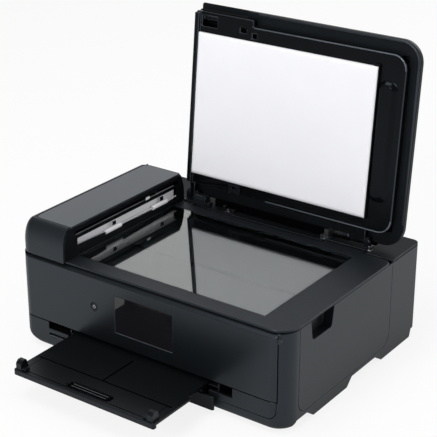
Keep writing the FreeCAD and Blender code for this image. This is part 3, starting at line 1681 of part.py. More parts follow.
def carriage_body():
    right = carriage_left + carriage_width
    w = carriage_wall
    box = block(carriage_left, right, carriage_front, carriage_rear, carriage_bottom, carriage_top)
    room = block(carriage_left + w, right - w, carriage_front + w, carriage_rear - w,
                 carriage_bottom + w * carriage_floor_share,
                 carriage_top + bite)
    low_front = block(carriage_left - bite, right + bite, carriage_front - bite, carriage_front + w + bite,
                      carriage_top - carriage_low_front,
                      carriage_top + bite)
    neck = block(carriage_left + neck_inset, right - neck_inset, carriage_rear - bite, rail_y - slide_gap,
                 rail_bottom + neck_rise,
                 carriage_top)
    hook = block(carriage_left + neck_inset, right - neck_inset, rail_y - slide_gap - hook_wall,
                 rail_y + plate_gauge + slide_gap + hook_wall,
                 rail_top + slide_gap, rail_top + slide_gap + hook_height)
    riser = block(carriage_left + neck_inset, right - neck_inset, rail_y - slide_gap - hook_wall,
                  rail_y - slide_gap,
                  carriage_top - riser_drop,
                  rail_top + slide_gap + bite)
    tail = block(carriage_left + neck_inset, right - neck_inset, rail_y + plate_gauge + slide_gap,
                 rail_y + plate_gauge + slide_gap + hook_wall, rail_top - tail_drop,
                 rail_top + slide_gap + bite)
    return fused(box.cut([room, low_front]), neck, hook, riser, tail)


def ink_tanks():
    w = carriage_wall
    pitch_x = (carriage_width - 2 * w) / tank_count
    low = carriage_bottom + w * carriage_floor_share
    tanks = []
    for i in range(tank_count):
        x0 = carriage_left + w + pitch_x * i + tank_gap / 2
        tank = block(x0, x0 + pitch_x - tank_gap, carriage_front + w + bite, carriage_rear - w - bite, low,
                     low + tank_height)
        lever = block(x0 + lever_inset, x0 + pitch_x - tank_gap - lever_inset, carriage_front + w + bite,
                      carriage_front + w + lever_length,
                      low + tank_height - bite, low + tank_height + lever_height)
        tanks.append(fused(tank, lever))
    return Part.makeCompound(tanks)


def print_head():
    right = carriage_left + carriage_width
    return block(carriage_left + head_margin, right - head_margin, carriage_front + head_margin,
                 carriage_rear - head_margin, carriage_bottom - head_height, carriage_bottom)


def logic_board():
    x0 = right_plate_x + plate_gauge
    board = block(x0 + board_gap, x0 + board_gap + board_thickness, board_front, board_rear, board_bottom,
                  board_bottom + board_height)
    parts = [board]
    for y in (board_front + stud_inset, board_rear - stud_inset):
        for z in (board_bottom + stud_inset, board_bottom + board_height - stud_inset):
            parts.append(rod_x(x0, x0 + board_gap + bite, y, z, stud_radius))
    for i in range(chip_count):
        y0 = board_front + chip_start + i * chip_pitch
        parts.append(block(x0 + board_gap + bite, x0 + board_gap + board_thickness + chip_height, y0,
                           y0 + chip_size,
                           board_bottom + chip_start, board_bottom + chip_start + chip_size))
    return fused(*parts)


def power_supply():
    rear = body_depth - case_wall - bottom_round
    low = inner_floor
    return block(supply_left, supply_right, supply_front, rear, low, low + supply_height)


# Socket block behind the rear wall, with a nose in the wall's window and its cavities
def rear_socket(middle, width, cavities):
    back = body_depth - case_wall
    low = inlet_z - inlet_height / 2
    high = low + inlet_height
    left = middle - width / 2
    body = block(left - socket_flange, left + width + socket_flange, back - socket_depth, back,
                 low - socket_flange,
                 high + socket_flange)
    nose = block(left + socket_gap, left + width - socket_gap, back, body_depth - socket_set_in,
                 low + socket_gap,
                 high - socket_gap)
    pitch_x = width / cavities
    holes = []
    for i in range(cavities):
        x0 = left + pitch_x * i + 3
        holes.append(block(x0, x0 + pitch_x - port_spacing, back - port_depth, body_depth + bite,
                           low + port_inset,
                           high - port_inset))
    return fused(body, nose).cut(holes)


# Pins fixed in the lower case: two for the operation panel, two for the scanner hinge
def hinge_pins():
    boss_end = panel_right + seam + panel_lug_width
    arm_left = panel_arm_left()
    lug_end = arm_left + 2 * panel_lug_width + slide_gap
    pins = [rod_x(panel_right - panel_lug_width, boss_end, panel_hinge_y, panel_hinge_z, panel_pin_radius),
            rod_x(arm_left, lug_end, panel_hinge_y, panel_hinge_z, panel_pin_radius)]
    reach = lift_arm_width * 2 + seam
    pins.append(rod_x(right_tongue_right - lift_arm_width - seam * 2, right_tongue_right + lift_arm_width,
                      lift_axis_y, lift_axis_z, lift_pin_radius))
    pins.append(rod_x(left_tongue_left - lift_arm_width, left_tongue_left - lift_arm_width + reach,
                      lift_axis_y, lift_axis_z, lift_pin_radius))
    return Part.makeCompound(pins)


left_edge, right_edge = paper_edges()
right_cover = side_cover()
pieces = {
    "outer_case": outer_case(),
    "rubber_feet": rubber_feet(),
    "case_screws": case_screws(),
    "right_side_cover": right_cover,
    "left_side_cover": mirrored(right_cover),
    "lower_front_cover": lower_front_cover(),
    "card_slot": card_slot(),
    "rear_top_frame": rear_top_frame(),
    "rear_tray_cover": rear_tray_cover(),
    "rear_paper_bed": rear_paper_bed(),
    "rear_guide_left": rear_guide(left_edge, -1),
    "rear_guide_right": rear_guide(right_edge, 1),
    "panel_shell": panel_shell(),
    "touch_screen": touch_screen(),
    "screen_module": screen_module(),
    "power_button": power_button(),
    "output_tray": output_tray(),
    "output_support": output_support(),
    "paper_cassette": paper_cassette(),
    "cassette_guide_left": cassette_guide(left_edge, -1),
    "cassette_guide_right": cassette_guide(right_edge, 1),
    "platen_frame": platen_frame(),
    "scan_glass": scan_glass(),
    "scanner_tub": scanner_tub(),
    "scan_carriage": scan_carriage(),
    "image_sensor": image_sensor(),
    "feeder_housing": feeder_housing(),
    "feeder_cover": feeder_cover(),
    "feeder_inner_wall": feeder_inner_wall(),
    "feeder_guide_strip": feeder_guide_strip(),
    "feeder_exit_roller": feeder_exit_roller(),
    "lid_hinge_brackets": lid_hinge_brackets(),
    "lid_hinge_pins": lid_hinge_pins(),
    "lid_outer_shell": lid_outer_shell(),
    "lid_inner_frame": lid_inner_frame(),
    "lid_pad_foam": lid_pad_foam(),
    "lid_pad_sheet": lid_pad_sheet(),
    "document_tray": document_tray(),
    "left_chassis_plate": left_chassis_plate(),
    "right_chassis_plate": right_chassis_plate(),
    "feed_roller": feed_roller(),
    "feed_gear": feed_gear(),
    "exit_roller": exit_roller(),
    "exit_gear": exit_gear(),
    "idler_gear": idler_gear(),
    "motor_pinion": motor_pinion(),
    "drive_motor": drive_motor(),
    "rear_pick_roller": rear_pick_roller(),
    "print_platen": print_platen(),
    "maintenance_unit": maintenance_unit(),
    "carriage_rail": carriage_rail(),
    "carriage_motor": carriage_motor(),
    "carriage_body": carriage_body(),
    "ink_tanks": ink_tanks(),
    "print_head": print_head(),
    "logic_board": logic_board(),
    "power_supply": power_supply(),
    "power_inlet": rear_socket(inlet_x, inlet_width, 1),
    "rear_ports": rear_socket(ports_x, ports_width, port_count),
    "hinge_pins": hinge_pins(),
}

os.makedirs("parts", exist_ok=True)
for node, shape in pieces.items():
    save(node, shape)
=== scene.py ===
import json
import math

import bmesh
import bpy
from mathutils import Matrix, Vector
from mathutils.bvhtree import BVHTree


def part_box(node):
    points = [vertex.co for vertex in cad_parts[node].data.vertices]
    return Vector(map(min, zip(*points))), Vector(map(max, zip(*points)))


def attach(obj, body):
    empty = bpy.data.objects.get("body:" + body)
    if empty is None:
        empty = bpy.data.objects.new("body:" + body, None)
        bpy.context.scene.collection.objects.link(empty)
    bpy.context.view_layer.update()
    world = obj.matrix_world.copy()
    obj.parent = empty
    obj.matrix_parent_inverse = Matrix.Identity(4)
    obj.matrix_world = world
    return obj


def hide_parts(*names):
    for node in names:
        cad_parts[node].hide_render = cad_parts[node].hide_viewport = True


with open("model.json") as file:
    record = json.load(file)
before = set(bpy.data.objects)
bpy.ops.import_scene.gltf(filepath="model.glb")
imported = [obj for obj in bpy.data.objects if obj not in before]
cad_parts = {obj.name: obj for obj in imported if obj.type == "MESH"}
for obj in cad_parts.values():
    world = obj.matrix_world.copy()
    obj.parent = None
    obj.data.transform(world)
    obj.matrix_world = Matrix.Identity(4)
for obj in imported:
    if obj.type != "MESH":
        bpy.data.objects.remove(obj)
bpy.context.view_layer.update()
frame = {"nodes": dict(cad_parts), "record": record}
print("stage: frame loaded,", len(frame["nodes"]), "nodes")

scene = bpy.context.scene
scene.view_settings.view_transform = "Standard"

record = frame["record"]
bodyOf = {node: body for body, nodes in record["behaviour"]["bodies"].items() for node in nodes}
slotOf = {entry["node"]: entry["material_slot"] for entry in record["subparts"]}
mm = 0.001
sameSpot = 0.001 * mm  # vertices nearer than this are one
tinyGap = 1e-7  # in metres, for cuts and seams that meet exactly
flatAngle, sharpAngle = math.radians(0.5), math.radians(40)
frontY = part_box("panel_shell")[0].y  # the front face; depths below count back from it


def at(x, y, z):
    return Vector((x * mm, frontY + y * mm, z * mm))


def linear(code):
    values = [int(code[i:i + 2], 16) / 255 for i in (1, 3, 5)]
    return tuple(v / 12.92 if v <= 0.04045 else ((v + 0.055) / 1.055) ** 2.4 for v in values) + (1.0,)


def addNode(tree, kind, inputs=None, **settings):
    node = tree.nodes.new(kind)
    for key, value in settings.items():
        setattr(node, key, value)
    for key, value in (inputs or {}).items():
        if isinstance(value, bpy.types.NodeSocket):
            tree.links.new(value, node.inputs[key])
        else:
            node.inputs[key].default_value = value
    return node


def newMaterial(name):
    material = bpy.data.materials.new(name)
    material.use_nodes = True
    material.node_tree.nodes.clear()
    return material, material.node_tree


def perMetre(sizeMm):
    return 1.0 / (sizeMm * mm)


# Colour between two tones, roughness between two values, and a bump that follows the grain
def dress(tree, spec, drift, grain, strength, distanceMm, inputs):
    tone = addNode(tree, "ShaderNodeMix", {
        "Factor": drift, "A": linear(spec["dark"]), "B": linear(spec["light"])}, data_type="RGBA")
    sheen = addNode(tree, "ShaderNodeMapRange", {
        "Value": grain, "To Min": spec["rough"][0], "To Max": spec["rough"][1]})
    bump = addNode(tree, "ShaderNodeBump", {
        "Height": grain, "Strength": strength, "Distance": distanceMm * mm})
    shader = addNode(tree, "ShaderNodeBsdfPrincipled", {
        "Base Color": tone.outputs["Result"], "Roughness": sheen.outputs["Result"],
        "Normal": bump.outputs["Normal"], **inputs})
    addNode(tree, "ShaderNodeOutputMaterial", {"Surface": shader.outputs["BSDF"]})


# Moulded plastics: a base colour that drifts a little, a sheen that comes and goes, and a grain.
# A mould's grain is about 0.1 mm; it is drawn coarser here, so that it shows at this distance.
moulding = {"driftDetail": 3.0, "grainDetail": 2.0, "grainRough": 0.6, "bumpMm": 0.3}


def mouldedPlastic(name, spec):
    material, tree = newMaterial(name)
    place = addNode(tree, "ShaderNodeTexCoord").outputs["Object"]
    drift = addNode(tree, "ShaderNodeTexNoise", {
        "Vector": place, "Scale": perMetre(spec["driftMm"]), "Detail": moulding["driftDetail"]})
    grain = addNode(tree, "ShaderNodeTexNoise", {
        "Vector": place, "Scale": perMetre(spec["grainMm"]), "Detail": moulding["grainDetail"],
        "Roughness": moulding["grainRough"]})
    dress(tree, spec, drift.outputs["Fac"], grain.outputs["Fac"], spec["grainDepth"], moulding["bumpMm"], {
        "IOR": spec["ior"], "Specular IOR Level": spec["gloss"], "Specular Tint": linear(spec["tint"])})
    return material


# Metals: long brushed streaks or a ground shine
metalwork = {"streakDetail": 4.0, "bump": 0.08, "bumpMm": 0.1}


def workedMetal(name, spec):
    material, tree = newMaterial(name)
    place = addNode(tree, "ShaderNodeTexCoord").outputs["Object"]
    stretch = addNode(tree, "ShaderNodeMapping", {"Vector": place, "Scale": spec["stretch"]})
    streak = addNode(tree, "ShaderNodeTexNoise", {
        "Vector": stretch.outputs["Vector"], "Scale": perMetre(spec["streakMm"]),
        "Detail": metalwork["streakDetail"]})
    dress(tree, spec, streak.outputs["Fac"], streak.outputs["Fac"], metalwork["bump"], metalwork["bumpMm"],
          {"Metallic": 1.0})
    return material


# Glass plate: clear, faintly green, with a trace of dust that dulls it in places
def clearGlass(name, spec):
    material, tree = newMaterial(name)
    place = addNode(tree, "ShaderNodeTexCoord").outputs["Object"]
    dust = addNode(tree, "ShaderNodeTexNoise", {
        "Vector": place, "Scale": perMetre(spec["dustMm"]), "Detail": spec["dustDetail"]})
    dull = addNode(tree, "ShaderNodeMapRange", {
        "Value": dust.outputs["Fac"], "From Min": spec["dustFrom"], "From Max": spec["dustTo"],
        "To Min": spec["rough"][0], "To Max": spec["rough"][1]})
    shader = addNode(tree, "ShaderNodeBsdfPrincipled", {
        "Base Color": linear(spec["tint"]), "Roughness": dull.outputs["Result"], "IOR": spec["ior"],
        "Transmission Weight": 1.0})
    addNode(tree, "ShaderNodeOutputMaterial", {"Surface": shader.outputs["BSDF"]})
    return material


# Dark and light tone, drift and grain in millimetres, depth of the grain, range of roughness
def plastic(dark, light, driftMm, grainMm, grainDepth, rough, gloss=0.5, tint="#ffffff", ior=1.49):
    return {"dark": dark, "light": light, "driftMm": driftMm, "grainMm": grainMm, "grainDepth": grainDepth,
            "rough": rough, "gloss": gloss, "tint": tint, "ior": ior}


coldSheen = "#e2f0ff"  # the black plastics reflect a little colder than white
plastics = {
    # ABS from a spark-textured mould: near black and cold, a soft broken sheen
    "texturedAbs": plastic("#0a0c0e", "#101316", 60.0, 1.6, 0.16, (0.36, 0.50), 0.48, coldSheen),
    # ABS from a polished mould: the front panel's even satin with a clearer reflection
    "satinAbs": plastic("#090b0d", "#0e1113", 80.0, 2.0, 0.05, (0.28, 0.36), tint=coldSheen),
    # ABS with a deeper grain, around the glass: duller, so that it takes less of the lid's reflection
    "frameAbs": plastic("#0d0f12", "#131619", 50.0, 1.5, 0.2, (0.42, 0.56), 0.36, coldSheen),
    # The same ABS left dull, at the rear, the hinges and the feeder's inner wall: flat black
    "mattAbs": plastic("#090b0c", "#0e1012", 50.0, 1.5, 0.2, (0.5, 0.62), 0.12, coldSheen),
    # ABS of the feeder's top: dark grey with a silky sheen that lightens at a low angle
    "silkyAbs": plastic("#26282c", "#2d3034", 50.0, 1.6, 0.08, (0.28, 0.38), 0.72, coldSheen),
    # ABS of the lid's shell: as the case, with less shine
    "lidAbs": plastic("#0a0c0e", "#0f1214", 60.0, 1.6, 0.14, (0.34, 0.46), 0.15, coldSheen),
    # High-gloss black ABS of the lid's inside: dark; the sharp lines of light on its ridges are painted
    # highlights of the lighter edge finish and beads
    "glossAbs": plastic("#060708", "#0a0b0d", 70.0, 3.0, 0.03, (0.18, 0.26), 0.13, coldSheen),
    # Polystyrene of the paper trays: plain black, low sheen
    "trayPolystyrene": plastic("#090b0c", "#0e1012", 40.0, 1.8, 0.12, (0.28, 0.38), 0.27, coldSheen),
    # Unpainted inner mouldings: charcoal, dull
    "innerPolystyrene": plastic("#101113", "#17191c", 30.0, 1.4, 0.25, (0.5, 0.65), 0.35, coldSheen),
    # Polyamide of sockets and connectors: deep black, slightly waxy
    "socketNylon": plastic("#08090a", "#0e0f11", 12.0, 1.2, 0.12, (0.35, 0.5)),
    # Acetal: white or ivory, waxy, as gears and rollers are
    "whiteAcetal": plastic("#eeeef1", "#f6f6f8", 18.0, 1.2, 0.08, (0.32, 0.44)),
    "ivoryAcetal": plastic("#cdc7b8", "#dcd7c9", 12.0, 1.2, 0.1, (0.35, 0.48)),
    # Polyester film of the pad: clean white, faintly blue, almost matt
    "padFilm": plastic("#ebebef", "#f2f2f6", 90.0, 2.2, 0.04, (0.45, 0.55)),
    # Urethane foam behind the film, near black as painted shade, so the pad's side shows as a dark band: open
    # cells that show at its cut edge
    "padFoam": plastic("#101113", "#1c1d20", 3.0, 1.3, 0.8, (0.85, 0.95), 0.2),
    # Nitrile rubber: dead black feet and greyer rollers, with a dusty sheen
    "nitrileRubber": plastic("#111111", "#1b1b1b", 8.0, 1.0, 0.35, (0.7, 0.85), 0.3),
    "rollerRubber": plastic("#2a2a2b", "#38383a", 6.0, 1.0, 0.3, (0.65, 0.8), 0.3),
    # Toughened display glass over a black print: mirror-smooth black
    "displayGlass": plastic("#131215", "#171619", 40.0, 6.0, 0.0, (0.03, 0.05), ior=1.52),
    # Solder-mask green over glass-fibre board
    "circuitBoard": plastic("#0d3a20", "#15502c", 4.0, 1.2, 0.25, (0.35, 0.5)),
    # Polypropylene ink tanks: dark, half glossy
    "tankPolypropylene": plastic("#141417", "#212125", 14.0, 1.4, 0.12, (0.28, 0.4)),
    # Edges of the black mouldings: a little smoother than the faces beside them, and lighter as a painted
    # highlight
    "rubbedEdge": plastic("#17191c", "#202327", 25.0, 1.2, 0.03, (0.18, 0.28), tint=coldSheen),
    # Dead black, for dark joints in seams and as painted shade in grooves, the grip and the ledge behind the
    # glass: it takes the light and shows only as a dark line
    "blackFlock": plastic("#020202", "#040405", 8.0, 1.2, 0.3, (0.85, 0.95), 0.02),
    # Polished ABS of the lid's bead, light grey as a painted highlight: with its sheen, a thin bright line of
    # sky
    "beadAbs": plastic("#4c5157", "#585d64", 30.0, 1.2, 0.02, (0.16, 0.24), 0.8, coldSheen),
    # Satin ABS of the lid's rolled lip: greyer than the shell, a painted highlight where it turns to the
    # light
    "lipAbs": plastic("#1c1f22", "#24272b", 40.0, 1.5, 0.06, (0.3, 0.4), 0.5, coldSheen),
    # Light grey of the thin trim, a painted highlight: satin, shows as a light line
    "trimPaint": plastic("#4a4d52", "#5a5e63", 20.0, 1.2, 0.03, (0.3, 0.4)),
    # Pale ink of the power mark
    "markInk": plastic("#a8abb0", "#bfc2c6", 6.0, 1.0, 0.02, (0.4, 0.5)),
}
metals = {
    # Zinc-plated sheet: grey with long rolling streaks
    "zincSheet": {"dark": "#8f9194", "light": "#b3b5b8", "streakMm": 3.0, "stretch": (1.0, 0.08, 1.0),
                  "rough": (0.3, 0.5)},
    # Ground steel of pins, screws and clips: bright, tight highlights
    "groundSteel": {"dark": "#a5a6a8", "light": "#c6c7c9", "streakMm": 2.0, "stretch": (0.1, 1.0, 1.0),
                    "rough": (0.18, 0.3)},
    # Oil-blackened spring wire: dark with thin bright lines
    "springWire": {"dark": "#3a3b3e", "light": "#55575b", "streakMm": 1.5, "stretch": (1.0, 1.0, 1.0),
                   "rough": (0.2, 0.32)},
    # Painted motor cans: grey enamel on steel
    "motorEnamel": {"dark": "#5b5c5f", "light": "#707175", "streakMm": 4.0, "stretch": (1.0, 1.0, 0.3),
                    "rough": (0.35, 0.5)},
}
# Float glass of the scanner: two reflections, one from each face; the index is raised for a stronger sheen
floatGlass = {"tint": "#f2f8f6", "dustMm": 25.0, "dustDetail": 5.0, "dustFrom": 0.45, "dustTo": 0.8,
              "rough": (0.0, 0.02), "ior": 1.85}
finishes = {name: mouldedPlastic(name, spec) for name, spec in plastics.items()}
finishes.update({name: workedMetal(name, spec) for name, spec in metals.items()})
finishes["floatGlass"] = clearGlass("floatGlass", floatGlass)
print("stage: finishes made,", len(finishes))


# Each CAD node's finish, edge radius in millimetres and finish of the edge.
# The shape is the node's own with its edges eased; a few are drawn rounder or flatter first.
# The edge finish paints a highlight along the eased edges
highlightEdge = "rubbedEdge"
nodeLooks = {
    "outer_case": ("texturedAbs", 0.5, highlightEdge), "left_side_cover": ("texturedAbs", 0.4, highlightEdge),
    "right_side_cover": ("texturedAbs", 0.4, highlightEdge), "lower_front_cover": ("texturedAbs", 0.4, highlightEdge),
    "card_slot": ("socketNylon", 0.3, highlightEdge), "rear_top_frame": ("mattAbs", 0.4, highlightEdge),
    "rear_tray_cover": ("mattAbs", 0.3, highlightEdge), "panel_shell": ("satinAbs", 0.5, highlightEdge),
    "touch_screen": ("displayGlass", 0.3, highlightEdge), "screen_module": ("innerPolystyrene", 0.4),
    "power_button": ("frameAbs", 0.15, highlightEdge), "output_tray": ("trayPolystyrene", 0.4),
    "output_support": ("trayPolystyrene", 0.3), "paper_cassette": ("trayPolystyrene", 0.4, highlightEdge),
    "cassette_guide_left": ("innerPolystyrene", 0.3), "cassette_guide_right": ("innerPolystyrene", 0.3),
    "platen_frame": ("frameAbs", 0.5, highlightEdge), "scan_glass": ("floatGlass", 0.0),
    "scanner_tub": ("innerPolystyrene", 0.4), "scan_carriage": ("innerPolystyrene", 0.3),
    "image_sensor": ("socketNylon", 0.2), "feeder_housing": ("texturedAbs", 0.35, highlightEdge),
    "feeder_cover": ("silkyAbs", 0.3), "feeder_inner_wall": ("mattAbs", 0.3),
    "feeder_guide_strip": ("whiteAcetal", 0.15), "feeder_exit_roller": ("whiteAcetal", 0.3),
    "lid_hinge_brackets": ("mattAbs", 0.4, highlightEdge), "lid_hinge_pins": ("groundSteel", 0.2),
    "lid_outer_shell": ("lidAbs", 0.9), "lid_inner_frame": ("glossAbs", 1.3, highlightEdge),
    "document_tray": ("texturedAbs", 0.4, highlightEdge), "rear_paper_bed": ("innerPolystyrene", 0.4),
    "rear_guide_left": ("innerPolystyrene", 0.3), "rear_guide_right": ("innerPolystyrene", 0.3),
    "rubber_feet": ("nitrileRubber", 0.5), "left_chassis_plate": ("zincSheet", 0.2),
    "right_chassis_plate": ("zincSheet", 0.2), "carriage_rail": ("zincSheet", 0.2),
    "feed_roller": ("rollerRubber", 0.3), "exit_roller": ("rollerRubber", 0.3),
    "rear_pick_roller": ("rollerRubber", 0.4), "feed_gear": ("ivoryAcetal", 0.12),
    "exit_gear": ("ivoryAcetal", 0.12), "idler_gear": ("ivoryAcetal", 0.12),
    "motor_pinion": ("ivoryAcetal", 0.1), "drive_motor": ("motorEnamel", 0.5),
    "carriage_motor": ("motorEnamel", 0.5), "print_platen": ("innerPolystyrene", 0.3),
    "maintenance_unit": ("innerPolystyrene", 0.3), "carriage_body": ("innerPolystyrene", 0.4, highlightEdge),
    "ink_tanks": ("tankPolypropylene", 0.4), "print_head": ("zincSheet", 0.2),
    "logic_board": ("circuitBoard", 0.15), "power_supply": ("socketNylon", 0.5, highlightEdge),
    "power_inlet": ("socketNylon", 0.3, highlightEdge), "rear_ports": ("socketNylon", 0.3, highlightEdge),
    "hinge_pins": ("groundSteel", 0.2),
}


def newObject(name, mesh, *looks):
    piece = bpy.data.objects.new(name, mesh)
    scene.collection.objects.link(piece)
    mesh.materials.clear()
    for finish in filter(None, looks):
        mesh.materials.append(finishes[finish])
    return piece


# Turns the evaluated object into a plain mesh and drops its modifiers
def settle(piece):
    bpy.context.view_layer.update()
    evaluated = piece.evaluated_get(bpy.context.evaluated_depsgraph_get())
    mesh = bpy.data.meshes.new_from_object(evaluated)
    piece.modifiers.clear()
    piece.data = mesh


# Rides a piece on the body of a CAD node, or on another body, and hides the CAD nodes it stands in for
def seat(piece, node, *nodes, body=None):
    body, slot = body or bodyOf[node], slotOf[node]
    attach(piece, body)
    if nodes:
        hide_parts(*nodes)


def easeEdges(piece, edgeMm, edgeFinish, **settings):
    bevel = piece.modifiers.new("easedEdges", "BEVEL")
    bevel.width = edgeMm * mm
    # the bevel's faces take the edge finish, a lighter colour that paints a highlight
    bevel.material = 1 if edgeFinish else -1
    for key, value in settings.items():
        setattr(bevel, key, value)
    weight = piece.modifiers.new("flatFaces", "WEIGHTED_NORMAL")
    weight.keep_sharp = True
    settle(piece)


def meshFrom(work, name, smooth=False):
    bmesh.ops.recalc_face_normals(work, faces=work.faces)
    mesh = bpy.data.meshes.new(name)
    work.to_mesh(mesh)
    work.free()
    if smooth:
        mesh.shade_smooth()
    return mesh


# Skins a row of rings with quads; caps close the first and the last
def joinRings(work, rings, capped=True):
    faces = []
    for one, two in zip(rings, rings[1:]):
        for k in range(len(one)):
            n = (k + 1) % len(one)
            faces.append(work.faces.new((one[k], one[n], two[n], two[k])))
    if capped:
        work.faces.new(rings[0][::-1])
        work.faces.new(rings[-1])
    return faces


# A sheet of quads; spotAt gives the place of column i in row j
def gridRows(work, cells, spotAt):
    across, along = cells
    rows = [[work.verts.new(spotAt(i, j)) for i in range(across + 1)] for j in range(along + 1)]
    for one, two in zip(rows, rows[1:]):
        for i in range(across):
            work.faces.new((one[i], two[i], two[i + 1], one[i + 1]))
    return rows


def mergedCopy(node):
    mesh = frame["nodes"][node].data.copy()
    work = bmesh.new()
    work.from_mesh(mesh)
    bmesh.ops.remove_doubles(work, verts=work.verts, dist=sameSpot)
    bmesh.ops.dissolve_limit(work, angle_limit=flatAngle, verts=work.verts, edges=work.edges)
    work.to_mesh(mesh)
    work.free()
    mesh.shade_smooth()
    mesh.set_sharp_from_angle(angle=sharpAngle)
    return mesh


# The lid is drawn open; its pieces are given in the closed place and turned about the hinge
lidTurn = {"axis": (278.9, 154.85), "open": 95.6}


def opened(x, y, z):
    axisY, axisZ = lidTurn["axis"]
    angle = math.radians(-lidTurn["open"])
    dy, dz = y - axisY, z - axisZ
    return at(x, axisY + dy * math.cos(angle) - dz * math.sin(angle),
              axisZ + dy * math.sin(angle) + dz * math.cos(angle))


# Lowers the CAD block under the lid's pillow to the frame's face
pillowBlock = {"x": (166.0, 196.0), "face": 150.0, "proud": 0.1, "weld": 0.02}


def flattenPillow(mesh):
    back = Matrix.Rotation(math.radians(lidTurn["open"]), 3, "X")
    axis = at(0, *lidTurn["axis"])
    x0, x1 = pillowBlock["x"]
    work = bmesh.new()
    work.from_mesh(mesh)
    for vertex in work.verts:
        spot = back @ (vertex.co - axis) + axis
        if x0 < spot.x / mm < x1 and spot.z / mm < pillowBlock["face"] - pillowBlock["proud"]:
            spot.z = pillowBlock["face"] * mm
            vertex.co = back.inverted() @ (spot - axis) + axis
    bmesh.ops.remove_doubles(work, verts=work.verts, dist=pillowBlock["weld"] * mm)
    bmesh.ops.dissolve_degenerate(work, edges=work.edges, dist=sameSpot)
    work.to_mesh(mesh)
    work.free()


# Feeder: its rounded rim falls off over twice as far down as it runs in, so the corner is tall and soft
feederRim = {"round": 15.0, "wall": 2.5, "corner": 18.0, "fall": 34.0, "wallDrop": 3.6, "wallFront": 0.6,
             "near": 0.12, "slack": 0.01, "beyond": 0.2, "under": 0.3}


def rimInset(x, y, left, rear):
    corner = feederRim["corner"]
    if x < left + corner and y < corner:
        return corner - math.hypot(left + corner - x, corner - y)
    if x < left + corner and y > rear - corner:
        return corner - math.hypot(left + corner - x, y - rear + corner)
    return min(x - left, y, rear - y)


def tallRim(mesh, node):
    low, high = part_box("feeder_housing")
    left, rear, top = low.x / mm, (high.y - frontY) / mm, high.z / mm
    size, fall, wall, near, drop = (feederRim[key] for key in ("round", "fall", "wall", "near", "wallDrop"))
    inner = size - wall
    for vertex in mesh.vertices:
        x, y, z = vertex.co.x / mm, (vertex.co.y - frontY) / mm, vertex.co.z / mm
        if node == "feeder_inner_wall":
            run = size - min(y - feederRim["wallFront"], rear - wall - y)
            rise = z - (top - drop - size)
            if run > 0 and rise >= -feederRim["slack"] and abs(math.hypot(run, rise) - size) < near:
                vertex.co.z = (top - drop - (fall - drop) * (1 - rise / size)) * mm
            continue
        inset, rise = rimInset(x, y, left, rear), z - (top - size)
        if rise < -feederRim["slack"] or inset > size + feederRim["beyond"]:
            continue
        away = math.hypot(size - inset, rise)
        skin = top - fall + fall * math.sqrt(max(0.0, 1 - (1 - min(inset, size) / size) ** 2))
        if abs(away - size) < near:
            vertex.co.z = (top - fall * (1 - rise / size)) * mm
        elif abs(away - inner) < near:
            vertex.co.z = (top - fall + (fall - wall) * rise / inner) * mm
        elif inset < size:
            vertex.co.z = min(z, skin - feederRim["under"]) * mm


# Lower front corner on the left: the case's foot is drawn up and round
roundFoot = {"nodes": ("outer_case", "lower_front_cover", "left_side_cover", "card_slot"),
             "run": 30.0, "lift": 30.0, "skip": 1.5, "fadeFrom": 24.0, "fadeTo": 72.0,
             "spare": (4, 2, 2), "ease": 0.5,
             "cutsX": (1.5, 2.5, 4, 6, 8.5, 11.5, 15, 19.5, 25, 31),
             "cutsY": (3, 7, 12, 18, 24, 32, 40, 48, 56, 64, 72),
             "cutsZ": (1, 2.5, 4.5, 7, 10, 13.5, 17.5, 22, 26, 30.5)}


def drawUpFoot(mesh):
    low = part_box("outer_case")[0]
    left, floor = low.x / mm, low.z / mm
    reach, lift, fadeTo, spare = (roundFoot[key] for key in ("run", "lift", "fadeTo", "spare"))
    work = bmesh.new()
    work.from_mesh(mesh)
    cuts = [((left + cut) * mm, 0) for cut in roundFoot["cutsX"]]
    cuts += [(frontY + cut * mm, 1) for cut in roundFoot["cutsY"]]
    cuts += [((floor + cut) * mm, 2) for cut in roundFoot["cutsZ"]]
    bound = at(left + reach + spare[0], fadeTo + spare[1], floor + lift + spare[2])
    for place, way in cuts:
        near = [face for face in work.faces
                if all(min(v.co[i] for v in face.verts) < bound[i] for i in range(3))]
        geometry = set(near)
        for face in near:
            geometry.update(face.verts)
            geometry.update(face.edges)
        spot = Vector([place if i == way else 0.0 for i in range(3)])
        bmesh.ops.bisect_plane(work, geom=list(geometry), dist=tinyGap, plane_co=spot,
                               plane_no=Vector([1.0 if i == way else 0.0 for i in range(3)]))
    for vertex in work.verts:
        x, y, z = vertex.co.x / mm - left, (vertex.co.y - frontY) / mm, vertex.co.z / mm - floor
        if x >= reach or z >= lift or y >= fadeTo:
            continue
        fade = min(1.0, (fadeTo - y) / (fadeTo - roundFoot["fadeFrom"]))
        fade = fade * fade * (3 - 2 * fade)
        run = min(1.0, max(0.0, (reach - max(0.0, x - roundFoot["skip"])) / reach))
        bottom = lift * fade * (1 - math.sqrt(max(0.0, 1 - run * run)))
        # the stretch up to the lift is pressed together, so wall and floor stay closed
        vertex.co.z = (floor + bottom + z * (1 - bottom / (lift + roundFoot["ease"]))) * mm
    work.to_mesh(mesh)
    work.free()


